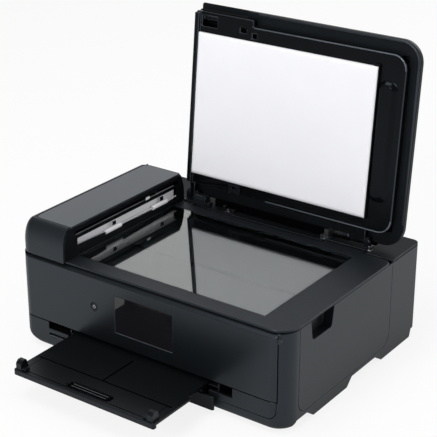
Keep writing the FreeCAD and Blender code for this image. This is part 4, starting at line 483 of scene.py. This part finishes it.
# Geometry Nodes: sizes are named inputs, shape(tree, sizes) gives the geometry,
# and Realize Instances and Set Material close it
def grownPiece(name, sizes, shape, finish, points=()):
    tree = bpy.data.node_groups.new(name + "Tree", "GeometryNodeTree")
    tree.interface.new_socket("Geometry", in_out="INPUT", socket_type="NodeSocketGeometry")
    tree.interface.new_socket("Geometry", in_out="OUTPUT", socket_type="NodeSocketGeometry")
    for label, value in sizes.items():
        kind = "NodeSocketInt" if isinstance(value, int) else "NodeSocketFloat"
        tree.interface.new_socket(label, in_out="INPUT", socket_type=kind)
    start = tree.nodes.new("NodeGroupInput")
    real = addNode(tree, "GeometryNodeRealizeInstances", {"Geometry": shape(tree, start.outputs)})
    dressed = addNode(tree, "GeometryNodeSetMaterial", {
        "Geometry": real.outputs["Geometry"], "Material": finishes[finish]})
    addNode(tree, "NodeGroupOutput", {"Geometry": dressed.outputs["Geometry"]})
    mesh = bpy.data.meshes.new(name)
    mesh.from_pydata([tuple(point) for point in points], [], [])
    piece = newObject(name, mesh, finish)
    modifier = piece.modifiers.new("grown", "NODES")
    modifier.node_group = tree
    for item in tree.interface.items_tree:
        if item.item_type == "SOCKET" and item.in_out == "INPUT" and item.name in sizes:
            modifier[item.identifier] = sizes[item.name]
    settle(piece)
    piece.data.materials.clear()
    piece.data.materials.append(finishes[finish])
    piece.data.shade_smooth()
    piece.data.set_sharp_from_angle(angle=sharpAngle)
    return piece


# Rear vents: two rows of slots, grown by nodes and cut as grooves into the back of the case's copy
ventSlots = {"count": 18, "pitch": 6.5 * mm, "slotWidth": 2.6 * mm, "slotHeight": 22.0 * mm,
             "slotDepth": 3.0 * mm}
ventRows = ((-55.0, 341.0, 42.0), (-55.0, 341.0, 70.0))


def ventShape(tree, sizes):
    step = addNode(tree, "ShaderNodeCombineXYZ", {"X": sizes["pitch"]})
    line = addNode(tree, "GeometryNodeMeshLine", {"Count": sizes["count"], "Offset": step.outputs["Vector"]})
    box = addNode(tree, "ShaderNodeCombineXYZ", {
        "X": sizes["slotWidth"], "Y": sizes["slotDepth"], "Z": sizes["slotHeight"]})
    slot = addNode(tree, "GeometryNodeMeshCube", {"Size": box.outputs["Vector"]})
    row = addNode(tree, "GeometryNodeInstanceOnPoints", {
        "Points": line.outputs["Mesh"], "Instance": slot.outputs["Mesh"]})
    spots = addNode(tree, "GeometryNodeMeshToPoints", {"Mesh": sizes["Geometry"]})
    rows = addNode(tree, "GeometryNodeInstanceOnPoints", {
        "Points": spots.outputs["Points"], "Instance": row.outputs["Instances"]})
    return rows.outputs["Instances"]


def cutVents(case):
    cutter = grownPiece("ventCutter", ventSlots, ventShape, "texturedAbs", [at(*row) for row in ventRows])
    cut = case.modifiers.new("vents", "BOOLEAN")
    cut.operation = "DIFFERENCE"
    cut.solver = "EXACT"
    cut.object = cutter
    settle(case)
    bpy.data.objects.remove(cutter)


# A copy of a CAD node with its doubles merged and its sharp edges eased
easing = {"angle": 32, "segments": 2, "stray": 0.4}


def easedCopy(node, finish, edgeMm, edgeFinish=None):
    mesh = mergedCopy(node)
    if node == "lid_inner_frame":
        flattenPillow(mesh)
    if node in ("feeder_housing", "feeder_inner_wall"):
        tallRim(mesh, node)
    if node in roundFoot["nodes"]:
        drawUpFoot(mesh)
    piece = newObject(node + "_eased", mesh, finish, edgeFinish)
    if node == "outer_case":
        cutVents(piece)
    surface = BVHTree.FromPolygons([vertex.co for vertex in piece.data.vertices],
                                   [face.vertices for face in piece.data.polygons])
    if edgeMm:
        easeEdges(piece, edgeMm, edgeFinish, limit_method="ANGLE", angle_limit=math.radians(easing["angle"]),
                  segments=easing["segments"], use_clamp_overlap=False)
        low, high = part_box(node)
        for vertex in piece.data.vertices:  # a bevel that ran too far goes back to the surface
            near, _, _, gap = surface.find_nearest(vertex.co)
            if gap > easing["stray"] * edgeMm * mm:
                vertex.co = near
            vertex.co = [min(max(vertex.co[i], low[i]), high[i]) for i in range(3)]
    seat(piece, node, node)


for node, looks in nodeLooks.items():
    easedCopy(node, *looks)
print("stage: eased copies made,", len(nodeLooks))


# Lid pad: a film over foam, drawn in at its edge and a little uneven
lidPad = {"x": (-128.7, 164.4), "y": (35.0, 245.0), "film": 145.2, "back": 150.0, "cells": (96, 72),
          "edgeDraw": 1.1, "edgeWidth": 5.0, "ripple": 0.12, "waveX": (0.041, 0.6), "waveY": (0.033, 1.1)}


def makeLidPad():
    (x0, x1), (y0, y1) = lidPad["x"], lidPad["y"]
    across, along = lidPad["cells"]
    (rateX, startX), (rateY, startY) = lidPad["waveX"], lidPad["waveY"]

    def place(i, j):
        return x0 + (x1 - x0) * i / across, y0 + (y1 - y0) * j / along

    def filmSpot(i, j):
        x, y = place(i, j)
        edge = min(x - x0, x1 - x, y - y0, y1 - y)
        draw = lidPad["edgeDraw"] * max(0.0, 1.0 - edge / lidPad["edgeWidth"]) ** 2
        wave = lidPad["ripple"] * (1 + math.sin(x * rateX + startX) * math.sin(y * rateY + startY))
        return opened(x, y, lidPad["film"] + draw + wave)

    work = bmesh.new()
    rows = gridRows(work, lidPad["cells"], filmSpot)
    for face in work.faces:
        face.smooth = True
    around = [(i, 0) for i in range(across + 1)] + [(across, j) for j in range(1, along)]
    around += [(i, along) for i in range(across, -1, -1)] + [(0, j) for j in range(along - 1, 0, -1)]
    rim = [rows[j][i] for i, j in around]
    backRim = [work.verts.new(opened(*place(i, j), lidPad["back"])) for i, j in around]
    for face in joinRings(work, [rim, backRim], False) + [work.faces.new(backRim)]:
        face.material_index = 1
    pad = newObject("lidPad", meshFrom(work, "lidPad"), "padFilm", "padFoam")
    seat(pad, "lid_pad_sheet", "lid_pad_sheet", "lid_pad_foam")
    print("stage: lid pad made")


makeLidPad()


# Small fittings are blocks with rounded edges, joined in one piece: low corner and high corner in millimetres
def blocksPiece(name, node, finish, blocks, edgeMm, edgeFinish=None, turn=at):
    work = bmesh.new()
    for low, high in blocks:
        for vertex in bmesh.ops.create_cube(work, size=1.0)["verts"]:
            vertex.co = turn(*[low[i] + (vertex.co[i] + 0.5) * (high[i] - low[i]) for i in range(3)])
    piece = newObject(name, meshFrom(work, name, True), finish, edgeFinish)
    easeEdges(piece, edgeMm, edgeFinish, segments=3)
    seat(piece, node)


# A round bead along a level path, closed at both ends
beadSides = 12


def beadPiece(name, node, finish, path, radiusMm, turn=at):
    work = bmesh.new()
    rings = []
    for k, (x, y, z) in enumerate(path):
        before, after = path[max(0, k - 1)], path[min(len(path) - 1, k + 1)]
        along = Vector((after[0] - before[0], after[1] - before[1], 0)).normalized()
        side = Vector((-along.y, along.x, 0))
        ring = []
        for m in range(beadSides):
            angle = math.tau * m / beadSides
            out = (side * math.cos(angle) + Vector((0, 0, math.sin(angle)))) * radiusMm
            ring.append(work.verts.new(turn(*(Vector((x, y, z)) + out))))
        rings.append(ring)
    joinRings(work, rings)
    seat(newObject(name, meshFrom(work, name, True), finish), node)


# Part of a level circle, as a path
def bend(centre, radius, first, sweep, steps, z):
    turned = [math.radians(first + sweep * k / steps) for k in range(steps + 1)]
    return [(centre[0] + radius * math.cos(angle), centre[1] + radius * math.sin(angle), z)
            for angle in turned]


# Case screws: pan heads with a cross recess, one on each CAD screw's place, as wide and long as the first
caseScrews = {"headHeight": 1.9 * mm, "shankRadius": 1.5 * mm,
              "crossLength": 3.8 * mm, "crossWidth": 0.9 * mm, "crossDepth": 2.2 * mm}


def screwPlaces():
    work = bmesh.new()
    work.from_mesh(frame["nodes"]["case_screws"].data)
    bmesh.ops.remove_doubles(work, verts=work.verts, dist=sameSpot)
    left, places = set(work.verts), []
    while left:
        group, front = set(), [next(iter(left))]
        while front:
            vertex = front.pop()
            if vertex in group:
                continue
            group.add(vertex)
            front.extend(edge.other_vert(vertex) for edge in vertex.link_edges)
        left -= group
        low = [min(v.co[i] for v in group) for i in range(3)]
        high = [max(v.co[i] for v in group) for i in range(3)]
        foot = Vector([(low[0] + high[0]) / 2, (low[1] + high[1]) / 2, low[2]])
        places.append((foot, high[2] - low[2], (high[0] - low[0]) / 2))
    work.free()
    return sorted(places, key=lambda place: tuple(round(v, 6) for v in place[0]))


def screwShape(tree, sizes):
    whole = addNode(tree, "GeometryNodeMeshBoolean", operation="UNION")
    for radius, length, cells in (("headRadius", "headHeight", {"Vertices": 32, "Side Segments": 3}),
                                  ("shankRadius", "shankLength", {"Vertices": 20})):
        rod = addNode(tree, "GeometryNodeMeshCylinder", {
            **cells, "Radius": sizes[radius], "Depth": sizes[length]})
        half = addNode(tree, "ShaderNodeMath", {0: sizes[length], 1: 0.5}, operation="MULTIPLY")
        lift = addNode(tree, "ShaderNodeCombineXYZ", {"Z": half.outputs[0]})
        stood = addNode(tree, "GeometryNodeTransform", {
            "Geometry": rod.outputs["Mesh"], "Translation": lift.outputs["Vector"]})
        tree.links.new(stood.outputs["Geometry"], whole.inputs["Mesh"])
    cut = addNode(tree, "GeometryNodeMeshBoolean", {"Mesh 1": whole.outputs["Mesh"]}, operation="DIFFERENCE")
    for x, y in (("crossLength", "crossWidth"), ("crossWidth", "crossLength")):
        size = addNode(tree, "ShaderNodeCombineXYZ", {"X": sizes[x], "Y": sizes[y], "Z": sizes["crossDepth"]})
        bar = addNode(tree, "GeometryNodeMeshCube", {"Size": size.outputs["Vector"]})
        tree.links.new(bar.outputs["Mesh"], cut.inputs["Mesh 2"])
    spots = addNode(tree, "GeometryNodeMeshToPoints", {"Mesh": sizes["Geometry"]})
    screws = addNode(tree, "GeometryNodeInstanceOnPoints", {
        "Points": spots.outputs["Points"], "Instance": cut.outputs["Mesh"]})
    return screws.outputs["Instances"]


def makeScrews():
    places = screwPlaces()
    sizes = {**caseScrews, "shankLength": places[0][1], "headRadius": places[0][2]}
    screws = grownPiece("caseScrews", sizes, screwShape, "groundSteel", [place[0] for place in places])
    seat(screws, "case_screws", "case_screws")
    print("stage: screws grown,", len(places))


makeScrews()


# Torsion spring of the right lid hinge, wound on the lid's barrel
hingeSpring = {"turns": 14.0, "coilRadius": 6.55 * mm, "wireRadius": 0.55 * mm, "length": 25.0 * mm}
springStart = 118.0


def springShape(tree, sizes):
    path = addNode(tree, "GeometryNodeCurveSpiral", {
        "Resolution": 24, "Rotations": sizes["turns"], "Start Radius": sizes["coilRadius"],
        "End Radius": sizes["coilRadius"], "Height": sizes["length"]})
    wire = addNode(tree, "GeometryNodeCurvePrimitiveCircle", {"Resolution": 8, "Radius": sizes["wireRadius"]})
    coil = addNode(tree, "GeometryNodeCurveToMesh", {
        "Curve": path.outputs["Curve"], "Profile Curve": wire.outputs["Curve"], "Fill Caps": True})
    laid = addNode(tree, "GeometryNodeTransform", {
        "Geometry": coil.outputs["Mesh"], "Rotation": (0.0, math.pi / 2, 0.0),
        "Translation": at(springStart, *lidTurn["axis"])})
    return laid.outputs["Geometry"]


spring = grownPiece("hingeSpring", hingeSpring, springShape, "springWire")
seat(spring, "lid_hinge_pins", body="document_cover")
print("stage: hinge spring wound")


# Pillow of the lid's inner frame: the CAD block goes flat and this crowned form stands in its place
lidPillow = {"x": (165.2, 196.0), "y": (51.0, 220.0), "base": 150.05, "height": 4.8, "endRound": 13.0,
             "shoulders": (4.5, 11.0), "cells": (40, 160), "sharp": 50}


def makeLidPillow():
    (x0, x1), (y0, y1) = lidPillow["x"], lidPillow["y"]
    r = lidPillow["endRound"]
    left, right = lidPillow["shoulders"]
    across, along = lidPillow["cells"]

    def spotAt(i, j):
        y = y0 + (y1 - y0) * j / along
        over = max(0.0, y0 + r - y, y - (y1 - r))
        pull = r - math.sqrt(max(0.0, r * r - over * over))
        x = x0 + pull + (x1 - x0 - 2 * pull) * i / across
        inward = min(x - x0 - pull, x1 - pull - x)
        if over > 0:
            out = math.hypot(max(0.0, r - min(x - x0, x1 - x)), over)
            inward = min(inward, max(0.0, r - out))
        shoulder = left + (right - left) * (x - x0) / (x1 - x0)
        rise = 0.5 - 0.5 * math.cos(math.pi * min(1.0, max(0.0, inward / shoulder)))
        return opened(x, y, lidPillow["base"] - lidPillow["height"] * rise)

    work = bmesh.new()
    gridRows(work, lidPillow["cells"], spotAt)
    bmesh.ops.remove_doubles(work, verts=work.verts, dist=sameSpot)
    bmesh.ops.holes_fill(work, edges=[edge for edge in work.edges if edge.is_boundary])
    mesh = meshFrom(work, "lidPillow", True)
    mesh.set_sharp_from_angle(angle=math.radians(lidPillow["sharp"]))
    seat(newObject("lidPillow", mesh, "glossAbs"), "lid_inner_frame")
    print("stage: lid pillow shaped")


makeLidPillow()


# Lid: glossy beads along the frame's upper and lower edge and a rolled lip on the rim, lighter than the frame
# as painted highlights, and a bracket beside the pad
lidBead = {"start": (-36.0, 16.0), "end": (2.0, 261.0), "right": 203.0, "round": 19.0, "z": 149.9,
           "radius": 0.9}
lidLip = {"start": (-36.0, -1.3), "end": 246.0, "right": 216.3, "round": 27.3, "z": 160.5, "radius": 2.2}
lidBendSteps = 12
padBracket = {"node": "lid_inner_frame", "finish": "mattAbs", "edgeMm": 0.3, "turn": opened, "blocks": (
    ((164.7, 34.5, 146.0), (166.3, 246.0, 150.2)), ((158.0, 31.6, 146.4), (166.3, 34.6, 150.2)),
    ((164.9, 120.0, 145.4), (166.1, 132.0, 150.2)))}


def makeLidEdge():
    (x0, y0), (x1, y1) = lidBead["start"], lidBead["end"]
    r, z = lidBead["round"], lidBead["z"]
    middle = lidBead["right"] - r
    upper = [(x0, y0, z)] + bend((middle, y0 + r), r, -90.0, 90.0, lidBendSteps, z)
    lower = bend((middle, y1 - r), r, 0.0, 90.0, lidBendSteps, z) + [(x1, y1, z)]
    beadPiece("lidUpperBead", "lid_inner_frame", "beadAbs", upper, lidBead["radius"], opened)
    beadPiece("lidLowerBead", "lid_inner_frame", "beadAbs", lower, lidBead["radius"], opened)
    x0, y0 = lidLip["start"]
    r, z, right = lidLip["round"], lidLip["z"], lidLip["right"]
    corner = bend((right - r, y0 + r), r, -90.0, 90.0, lidBendSteps, z)
    lip = [(x0, y0, z)] + corner + [(right, lidLip["end"], z)]
    beadPiece("lidRolledLip", "lid_outer_shell", "lipAbs", lip, lidLip["radius"], opened)
    blocksPiece("padBracket", **padBracket)
    print("stage: lid edge dressed")


makeLidEdge()


# Seam of the feeder's cover: a dark line that stays on the housing when the cover lifts
coverSeam = {"left": -203.3, "right": -139.9, "front": 15.7, "rear": 258.3, "round": 10.3, "z": 189.95,
             "radius": 0.42, "steps": 10}


def makeCoverSeam():
    left, right, front, rear = (coverSeam[key] for key in ("left", "right", "front", "rear"))
    r, z = coverSeam["round"], coverSeam["z"]
    path = [(right, front, z)]
    for centre, first in (((left + r, front + r), 270.0), ((left + r, rear - r), 180.0)):
        path += bend(centre, r, first, -90.0, coverSeam["steps"], z)
    path.append((right, rear, z))
    beadPiece("coverSeam", "feeder_housing", "blackFlock", path, coverSeam["radius"])
    print("stage: cover seam drawn")


makeCoverSeam()


# Exit of the feeder: dark skirt below the white strip, catches above the rollers, a white sheet lever
exitSkirt = {"x": (-139.1, -137.9), "low": 150.9, "runs": ((28.2, 86.5), (124.5, 192.5), (230.5, 249.8)),
             "frontTop": (29.0, 160.0), "rearTop": (250.0, 151.6), "chamfer": 0.3}
catchPlaces = (107.0, 215.0)
catchBlocks = (((-140.0, -3.0, 161.6), (-138.7, 3.0, 163.2)), ((-140.0, -3.0, 162.4), (-138.3, -1.2, 167.4)),
               ((-140.0, 1.2, 162.4), (-138.3, 3.0, 167.4)), ((-140.0, -2.0, 162.4), (-139.2, 2.0, 167.0)))
rollerCatches = {"node": "feeder_inner_wall", "finish": "mattAbs", "edgeMm": 0.15, "blocks": [
    ((x0, y + y0, z0), (x1, y + y1, z1)) for y in catchPlaces for (x0, y0, z0), (x1, y1, z1) in catchBlocks]}
sheetLever = {"node": "feeder_guide_strip", "finish": "whiteAcetal", "edgeMm": 0.25, "blocks": (
    ((-140.6, 178.0, 174.3), (-138.3, 187.0, 175.6)), ((-139.4, 178.6, 175.2), (-138.3, 186.4, 178.2)))}


def makeSkirt():
    (x0, x1), low, chamfer = exitSkirt["x"], exitSkirt["low"], exitSkirt["chamfer"]
    (yFront, zFront), (yRear, zRear) = exitSkirt["frontTop"], exitSkirt["rearTop"]
    work = bmesh.new()
    for run in exitSkirt["runs"]:
        rings = []
        for y in run:
            top = zFront + (zRear - zFront) * (y - yFront) / (yRear - yFront)
            outline = ((x0, low), (x1, low), (x1, top - chamfer), (x1 - chamfer, top), (x0, top))
            rings.append([work.verts.new(at(x, y, z)) for x, z in outline])
        joinRings(work, rings)
    seat(newObject("exitSkirt", meshFrom(work, "exitSkirt"), "mattAbs"), "feeder_inner_wall")


makeSkirt()
blocksPiece("rollerCatches", **rollerCatches)
blocksPiece("sheetLever", **sheetLever)
print("stage: feeder exit dressed")


# Fittings between the lid and the glass: lid catch with its hole, latch post, hinge box and clips.
# The ledge behind the glass stops the light that would come in under the open lid; its dead black is painted
# shade.
hingeFittings = {
    "lidCatch": {"node": "lid_inner_frame", "finish": "mattAbs", "edgeMm": 0.5, "edgeFinish": highlightEdge,
                 "turn": opened, "blocks": (
        ((-62, 247.6, 146.8), (-55, 260.4, 150.2)), ((-49.6, 247.6, 146.8), (-42, 260.4, 150.2)),
        ((-56, 247.6, 146.8), (-49, 250.6, 150.2)), ((-56, 255.4, 146.8), (-49, 260.4, 150.2)),
        ((-60.5, 259.0, 146.2), (-57.5, 261.4, 150.2)), ((-46.5, 259.0, 146.2), (-43.5, 261.4, 150.2)))},
    "latchPost": {"node": "rear_top_frame", "finish": "mattAbs", "edgeMm": 0.35, "edgeFinish": highlightEdge,
                  "blocks": (
        ((-67, 264.4, 144.5), (-44, 275.0, 146.0)), ((-66, 266.0, 145.6), (-62.6, 273.5, 152.5)),
        ((-50, 266.0, 145.6), (-46.6, 273.5, 150.0)), ((-64, 270.6, 145.6), (-48, 273.0, 149.0)))},
    "latchTip": {"node": "case_screws", "finish": "groundSteel", "edgeMm": 0.25, "blocks": (
        ((-61.5, 264.8, 146.0), (-51.5, 267.0, 147.2)), ((-58.0, 266.0, 146.0), (-55.0, 270.8, 149.6)),
        ((-66.2, 268.4, 152.2), (-62.4, 271.2, 153.0)))},
    "hingeBox": {"node": "lid_hinge_brackets", "finish": "frameAbs", "edgeMm": 0.5, "edgeFinish": highlightEdge,
                 "blocks": (
        ((-117.9, 263.6, 144.8), (-96.0, 276.5, 157.2)), ((-115.0, 262.9, 147.0), (-99.0, 264.2, 155.2)),
        ((-117.0, 265.0, 156.6), (-97.0, 275.5, 159.0)), ((-96.4, 265.4, 144.8), (-90.0, 274.0, 150.5)))},
    "boxClip": {"node": "lid_hinge_pins", "finish": "groundSteel", "edgeMm": 0.25, "blocks": (
        ((-114.5, 266.4, 158.8), (-103.5, 268.2, 159.5)), ((-110.6, 266.4, 158.8), (-109.2, 274.8, 159.5)),
        ((-101.0, 265.6, 158.8), (-98.2, 271.0, 159.4)))},
    "hingeClips": {"node": "case_screws", "finish": "groundSteel", "edgeMm": 0.25, "blocks": (
        ((100.6, 266.5, 144.5), (108.6, 276.0, 145.6)), ((101.2, 266.5, 145.2), (102.6, 275.0, 151.5)),
        ((104.4, 268.0, 145.2), (108.0, 270.2, 149.8)), ((173.6, 268.5, 144.5), (180.5, 275.5, 146.0)),
        ((175.0, 270.0, 145.6), (177.4, 273.4, 151.8)))},
    # dead black ledge: painted shade behind the glass
    "rearLedge": {"node": "rear_top_frame", "finish": "blackFlock", "edgeMm": 0.5, "blocks": (
        ((-88.0, 277.2, 144.5), (99.0, 280.6, 155.4)), ((-70.0, 275.8, 144.5), (-66.0, 277.6, 148.6)),
        ((40.0, 275.8, 144.5), (44.0, 277.6, 148.6)), ((84.0, 275.8, 144.5), (88.0, 277.6, 148.6)))},
}
for name, fitting in hingeFittings.items():
    blocksPiece(name, **fitting)
print("stage: hinge fittings made")


# Power button: a dark ring and a plain power sign, both just proud of the cap
powerSign = {"centre": (-88.1, 92.8), "faceY": 0.3, "proud": 0.06, "sunk": 0.1, "ring": (5.5, 6.6),
             "ringSteps": 64, "arc": (1.75, 2.35), "arcSteps": 40, "gap": 38.0, "bar": (0.3, 0.4, 2.7)}


def signDepth():
    return powerSign["faceY"] - powerSign["proud"], powerSign["faceY"] + powerSign["sunk"]


def sectorFaces(work, radii, gap, steps):
    (x, z), (y0, y1), (inner, outer) = powerSign["centre"], signDepth(), radii
    rings = []
    for k in range(steps + 1):
        angle = math.radians(gap + (360.0 - gap - gap) * k / steps)
        rings.append([work.verts.new(at(x + math.sin(angle) * r, y, z + math.cos(angle) * r))
                      for r, y in ((inner, y0), (outer, y0), (outer, y1), (inner, y1))])
    joinRings(work, rings, gap > 0)


def barFaces(work):
    (x, z), (half, low, high) = powerSign["centre"], powerSign["bar"]
    outline = ((-half, low), (half, low), (half, high), (-half, high))
    joinRings(work, [[work.verts.new(at(x + dx, y, z + dz)) for dx, dz in outline] for y in signDepth()])


def makePowerSign():
    ring, sign = bmesh.new(), bmesh.new()
    sectorFaces(ring, powerSign["ring"], 0.0, powerSign["ringSteps"])
    sectorFaces(sign, powerSign["arc"], powerSign["gap"], powerSign["arcSteps"])
    barFaces(sign)
    for name, work, finish in (("powerRing", ring, "blackFlock"), ("powerSign", sign, "markInk")):
        bmesh.ops.remove_doubles(work, verts=work.verts, dist=tinyGap)
        seat(newObject(name, meshFrom(work, name), finish), "power_button")
    print("stage: power sign set")


makePowerSign()


# Thin trim: a light line beside the screen, pale caps on the finger ribs and a lip at the card slot, all
# light grey as painted highlights;
# dead black in the tray's grooves and the grip as painted shade
trims = {
    # painted highlight: a light grey line beside the screen
    "screenTrim": {"node": "panel_shell", "finish": "trimPaint", "edgeMm": 0.2, "blocks": (
        ((-52.4, 0.15, 63.7), (43.4, 0.9, 64.75)), ((-53.6, 0.2, 64.0), (-52.6, 0.9, 119.4)))},
    # painted shade: dead black strips in the tray's grooves
    "trayGrooveShade": {"node": "output_tray", "finish": "blackFlock", "edgeMm": 0.08, "blocks": (
        ((-14.5, -74.4, 38.9), (-11.5, 8.0, 39.4)), ((-121.0, -75.0, 39.2), (99.0, -73.6, 40.03)))},
    # painted shade: dead black in the grip between the ribs
    "gripShade": {"node": "output_support", "finish": "blackFlock", "edgeMm": 0.05, "blocks": (
        ((-44.0, -110.6, 38.5), (26.0, -97.4, 38.72)),)},
    # painted highlights: pale caps on the rib tops
    "gripCaps": {"node": "output_support", "finish": "trimPaint", "edgeMm": 0.2, "blocks": (
        ((-37.6, -106.9, 39.4), (19.6, -106.1, 39.85)), ((-37.6, -101.9, 39.4), (19.6, -101.1, 39.85)))},
    # painted highlight: a light lip at the card slot
    "slitLip": {"node": "card_slot", "finish": "trimPaint", "edgeMm": 0.2, "blocks": (
        ((-171.5, 0.4, 22.3), (-143.5, 3.0, 22.95)),)},
}
for name, trim in trims.items():
    blocksPiece(name, **trim)
print("stage: trim set")


# Studio: pale floor, surroundings that are white to the eye, soft lamps
studio = {"floorSize": 12.0, "floorTone": "#f4f4f4", "floorGlow": 0.84, "floorGlowInSheen": 0.3,
          "floorDimFrontRight": 0.16, "dimX": (0.1, 0.6), "dimY": (0.15, -0.25),
          "skyForLight": 0.5, "sheenFront": 0.2, "sheenBack": 1.0, "sheenTurn": (-0.2, 0.6)}
white = (1, 1, 1, 1)


# The kind of ray, and whether the eye sees the surroundings, straight or through glass
def sightOf(tree):
    path = addNode(tree, "ShaderNodeLightPath")
    clear = addNode(tree, "ShaderNodeMath", {
        0: path.outputs["Is Camera Ray"], 1: path.outputs["Is Transmission Ray"]}, operation="MAXIMUM")
    return path, clear.outputs[0]


def floorMaterial():
    material, tree = newMaterial("paleFloor")
    # The room's dim side lies to the front and right, so the floor there shows darker in reflections
    spot = addNode(tree, "ShaderNodeTexCoord").outputs["Object"]
    place = addNode(tree, "ShaderNodeSeparateXYZ", {"Vector": spot})
    right = addNode(tree, "ShaderNodeMapRange", {
        "Value": place.outputs["X"], "From Min": studio["dimX"][0], "From Max": studio["dimX"][1]})
    front = addNode(tree, "ShaderNodeMapRange", {
        "Value": place.outputs["Y"], "From Min": studio["dimY"][0], "From Max": studio["dimY"][1]})
    both = addNode(tree, "ShaderNodeMath", {
        0: right.outputs["Result"], 1: front.outputs["Result"]}, operation="MULTIPLY")
    glow = addNode(tree, "ShaderNodeMath", {
        0: both.outputs[0], 1: -studio["floorDimFrontRight"], 2: studio["floorGlowInSheen"]},
        operation="MULTIPLY_ADD")
    path, clear = sightOf(tree)
    eye = addNode(tree, "ShaderNodeMath", {0: clear, 1: studio["floorGlow"]}, operation="MULTIPLY")
    sheen = addNode(tree, "ShaderNodeMath", {
        0: path.outputs["Is Glossy Ray"], 1: glow.outputs[0]}, operation="MULTIPLY")
    share = addNode(tree, "ShaderNodeMath", {0: eye.outputs[0], 1: sheen.outputs[0]}, operation="MAXIMUM")
    matt = addNode(tree, "ShaderNodeBsdfDiffuse", {"Color": linear(studio["floorTone"])})
    bright = addNode(tree, "ShaderNodeEmission", {"Color": white, "Strength": 1.0})
    mix = addNode(tree, "ShaderNodeMixShader", {
        0: share.outputs[0], 1: matt.outputs["BSDF"], 2: bright.outputs["Emission"]})
    addNode(tree, "ShaderNodeOutputMaterial", {"Surface": mix.outputs["Shader"]})
    return material


def makeFloor():
    half = studio["floorSize"] / 2
    mesh = bpy.data.meshes.new("floor")
    corners = [(-half, -half, 0), (half, -half, 0), (half, half, 0), (-half, half, 0)]
    mesh.from_pydata(corners, [], [(0, 1, 2, 3)])
    floor = newObject("floor", mesh)
    mesh.materials.append(floorMaterial())


def makeWorld():
    scene.world = bpy.data.worlds.new("studioWorld")
    scene.world.use_nodes = True
    tree = scene.world.node_tree
    tree.nodes.clear()
    # Reflections meet a bright wall behind the object and a dim room in front of it
    way = addNode(tree, "ShaderNodeTexCoord").outputs["Generated"]
    direction = addNode(tree, "ShaderNodeSeparateXYZ", {"Vector": way})
    room = addNode(tree, "ShaderNodeMapRange", {
        "Value": direction.outputs["Y"], "To Min": studio["sheenFront"], "To Max": studio["sheenBack"],
        "From Min": studio["sheenTurn"][0], "From Max": studio["sheenTurn"][1]},
        interpolation_type="SMOOTHSTEP")
    path, clear = sightOf(tree)
    lit = addNode(tree, "ShaderNodeMix", {
        "Factor": path.outputs["Is Glossy Ray"], "A": studio["skyForLight"], "B": room.outputs["Result"]})
    strength = addNode(tree, "ShaderNodeMix", {"Factor": clear, "A": lit.outputs["Result"], "B": 1.0})
    sky = addNode(tree, "ShaderNodeBackground", {"Color": white, "Strength": strength.outputs["Result"]})
    addNode(tree, "ShaderNodeOutputWorld", {"Surface": sky.outputs["Background"]})


# Soft lamps: place, point looked at, size in metres, power in watts
lamps = {
    "overhead": {"at": (-0.4, -0.4, 2.3), "to": (0.0, 0.05, 0.2), "size": 1.0, "watts": 15.0},
    "front": {"at": (0.0, -2.4, 1.4), "to": (0.0, 0.1, 0.25), "size": 0.7, "watts": 30.0},
    "rightFill": {"at": (2.2, 0.3, 1.2), "to": (0.0, 0.0, 0.2), "size": 1.0, "watts": 8.0},
    "backFill": {"at": (0.3, 2.4, 1.6), "to": (0.0, 0.2, 0.2), "size": 1.4, "watts": 14.0},
}
# Camera solved from the photograph's edges
photoCamera = {"at": (0.98023, -1.31542, 0.91841), "to": (0.00755, 0.04172, 0.19184), "lens": 110.49,
               "sensor": 36.0, "far": 50.0}


def aimed(name, data, spec):
    made = bpy.data.objects.new(name, data)
    scene.collection.objects.link(made)
    made.location = spec["at"]
    made.rotation_euler = (Vector(spec["to"]) - Vector(spec["at"])).to_track_quat("-Z", "Y").to_euler()
    return made


def makeLamps():
    for name, spec in lamps.items():
        data = bpy.data.lights.new(name, "AREA")
        data.shape = "SQUARE"
        data.size = spec["size"]
        data.energy = spec["watts"]
        aimed(name, data, spec)


def makeCamera():
    data = bpy.data.cameras.new("photoCamera")
    data.sensor_width = photoCamera["sensor"]
    data.sensor_fit = "HORIZONTAL"
    data.lens = photoCamera["lens"]
    data.clip_end = photoCamera["far"]
    scene.camera = aimed("photoCamera", data, photoCamera)


makeFloor()
makeWorld()
makeLamps()
makeCamera()
print("stage: studio and camera set")
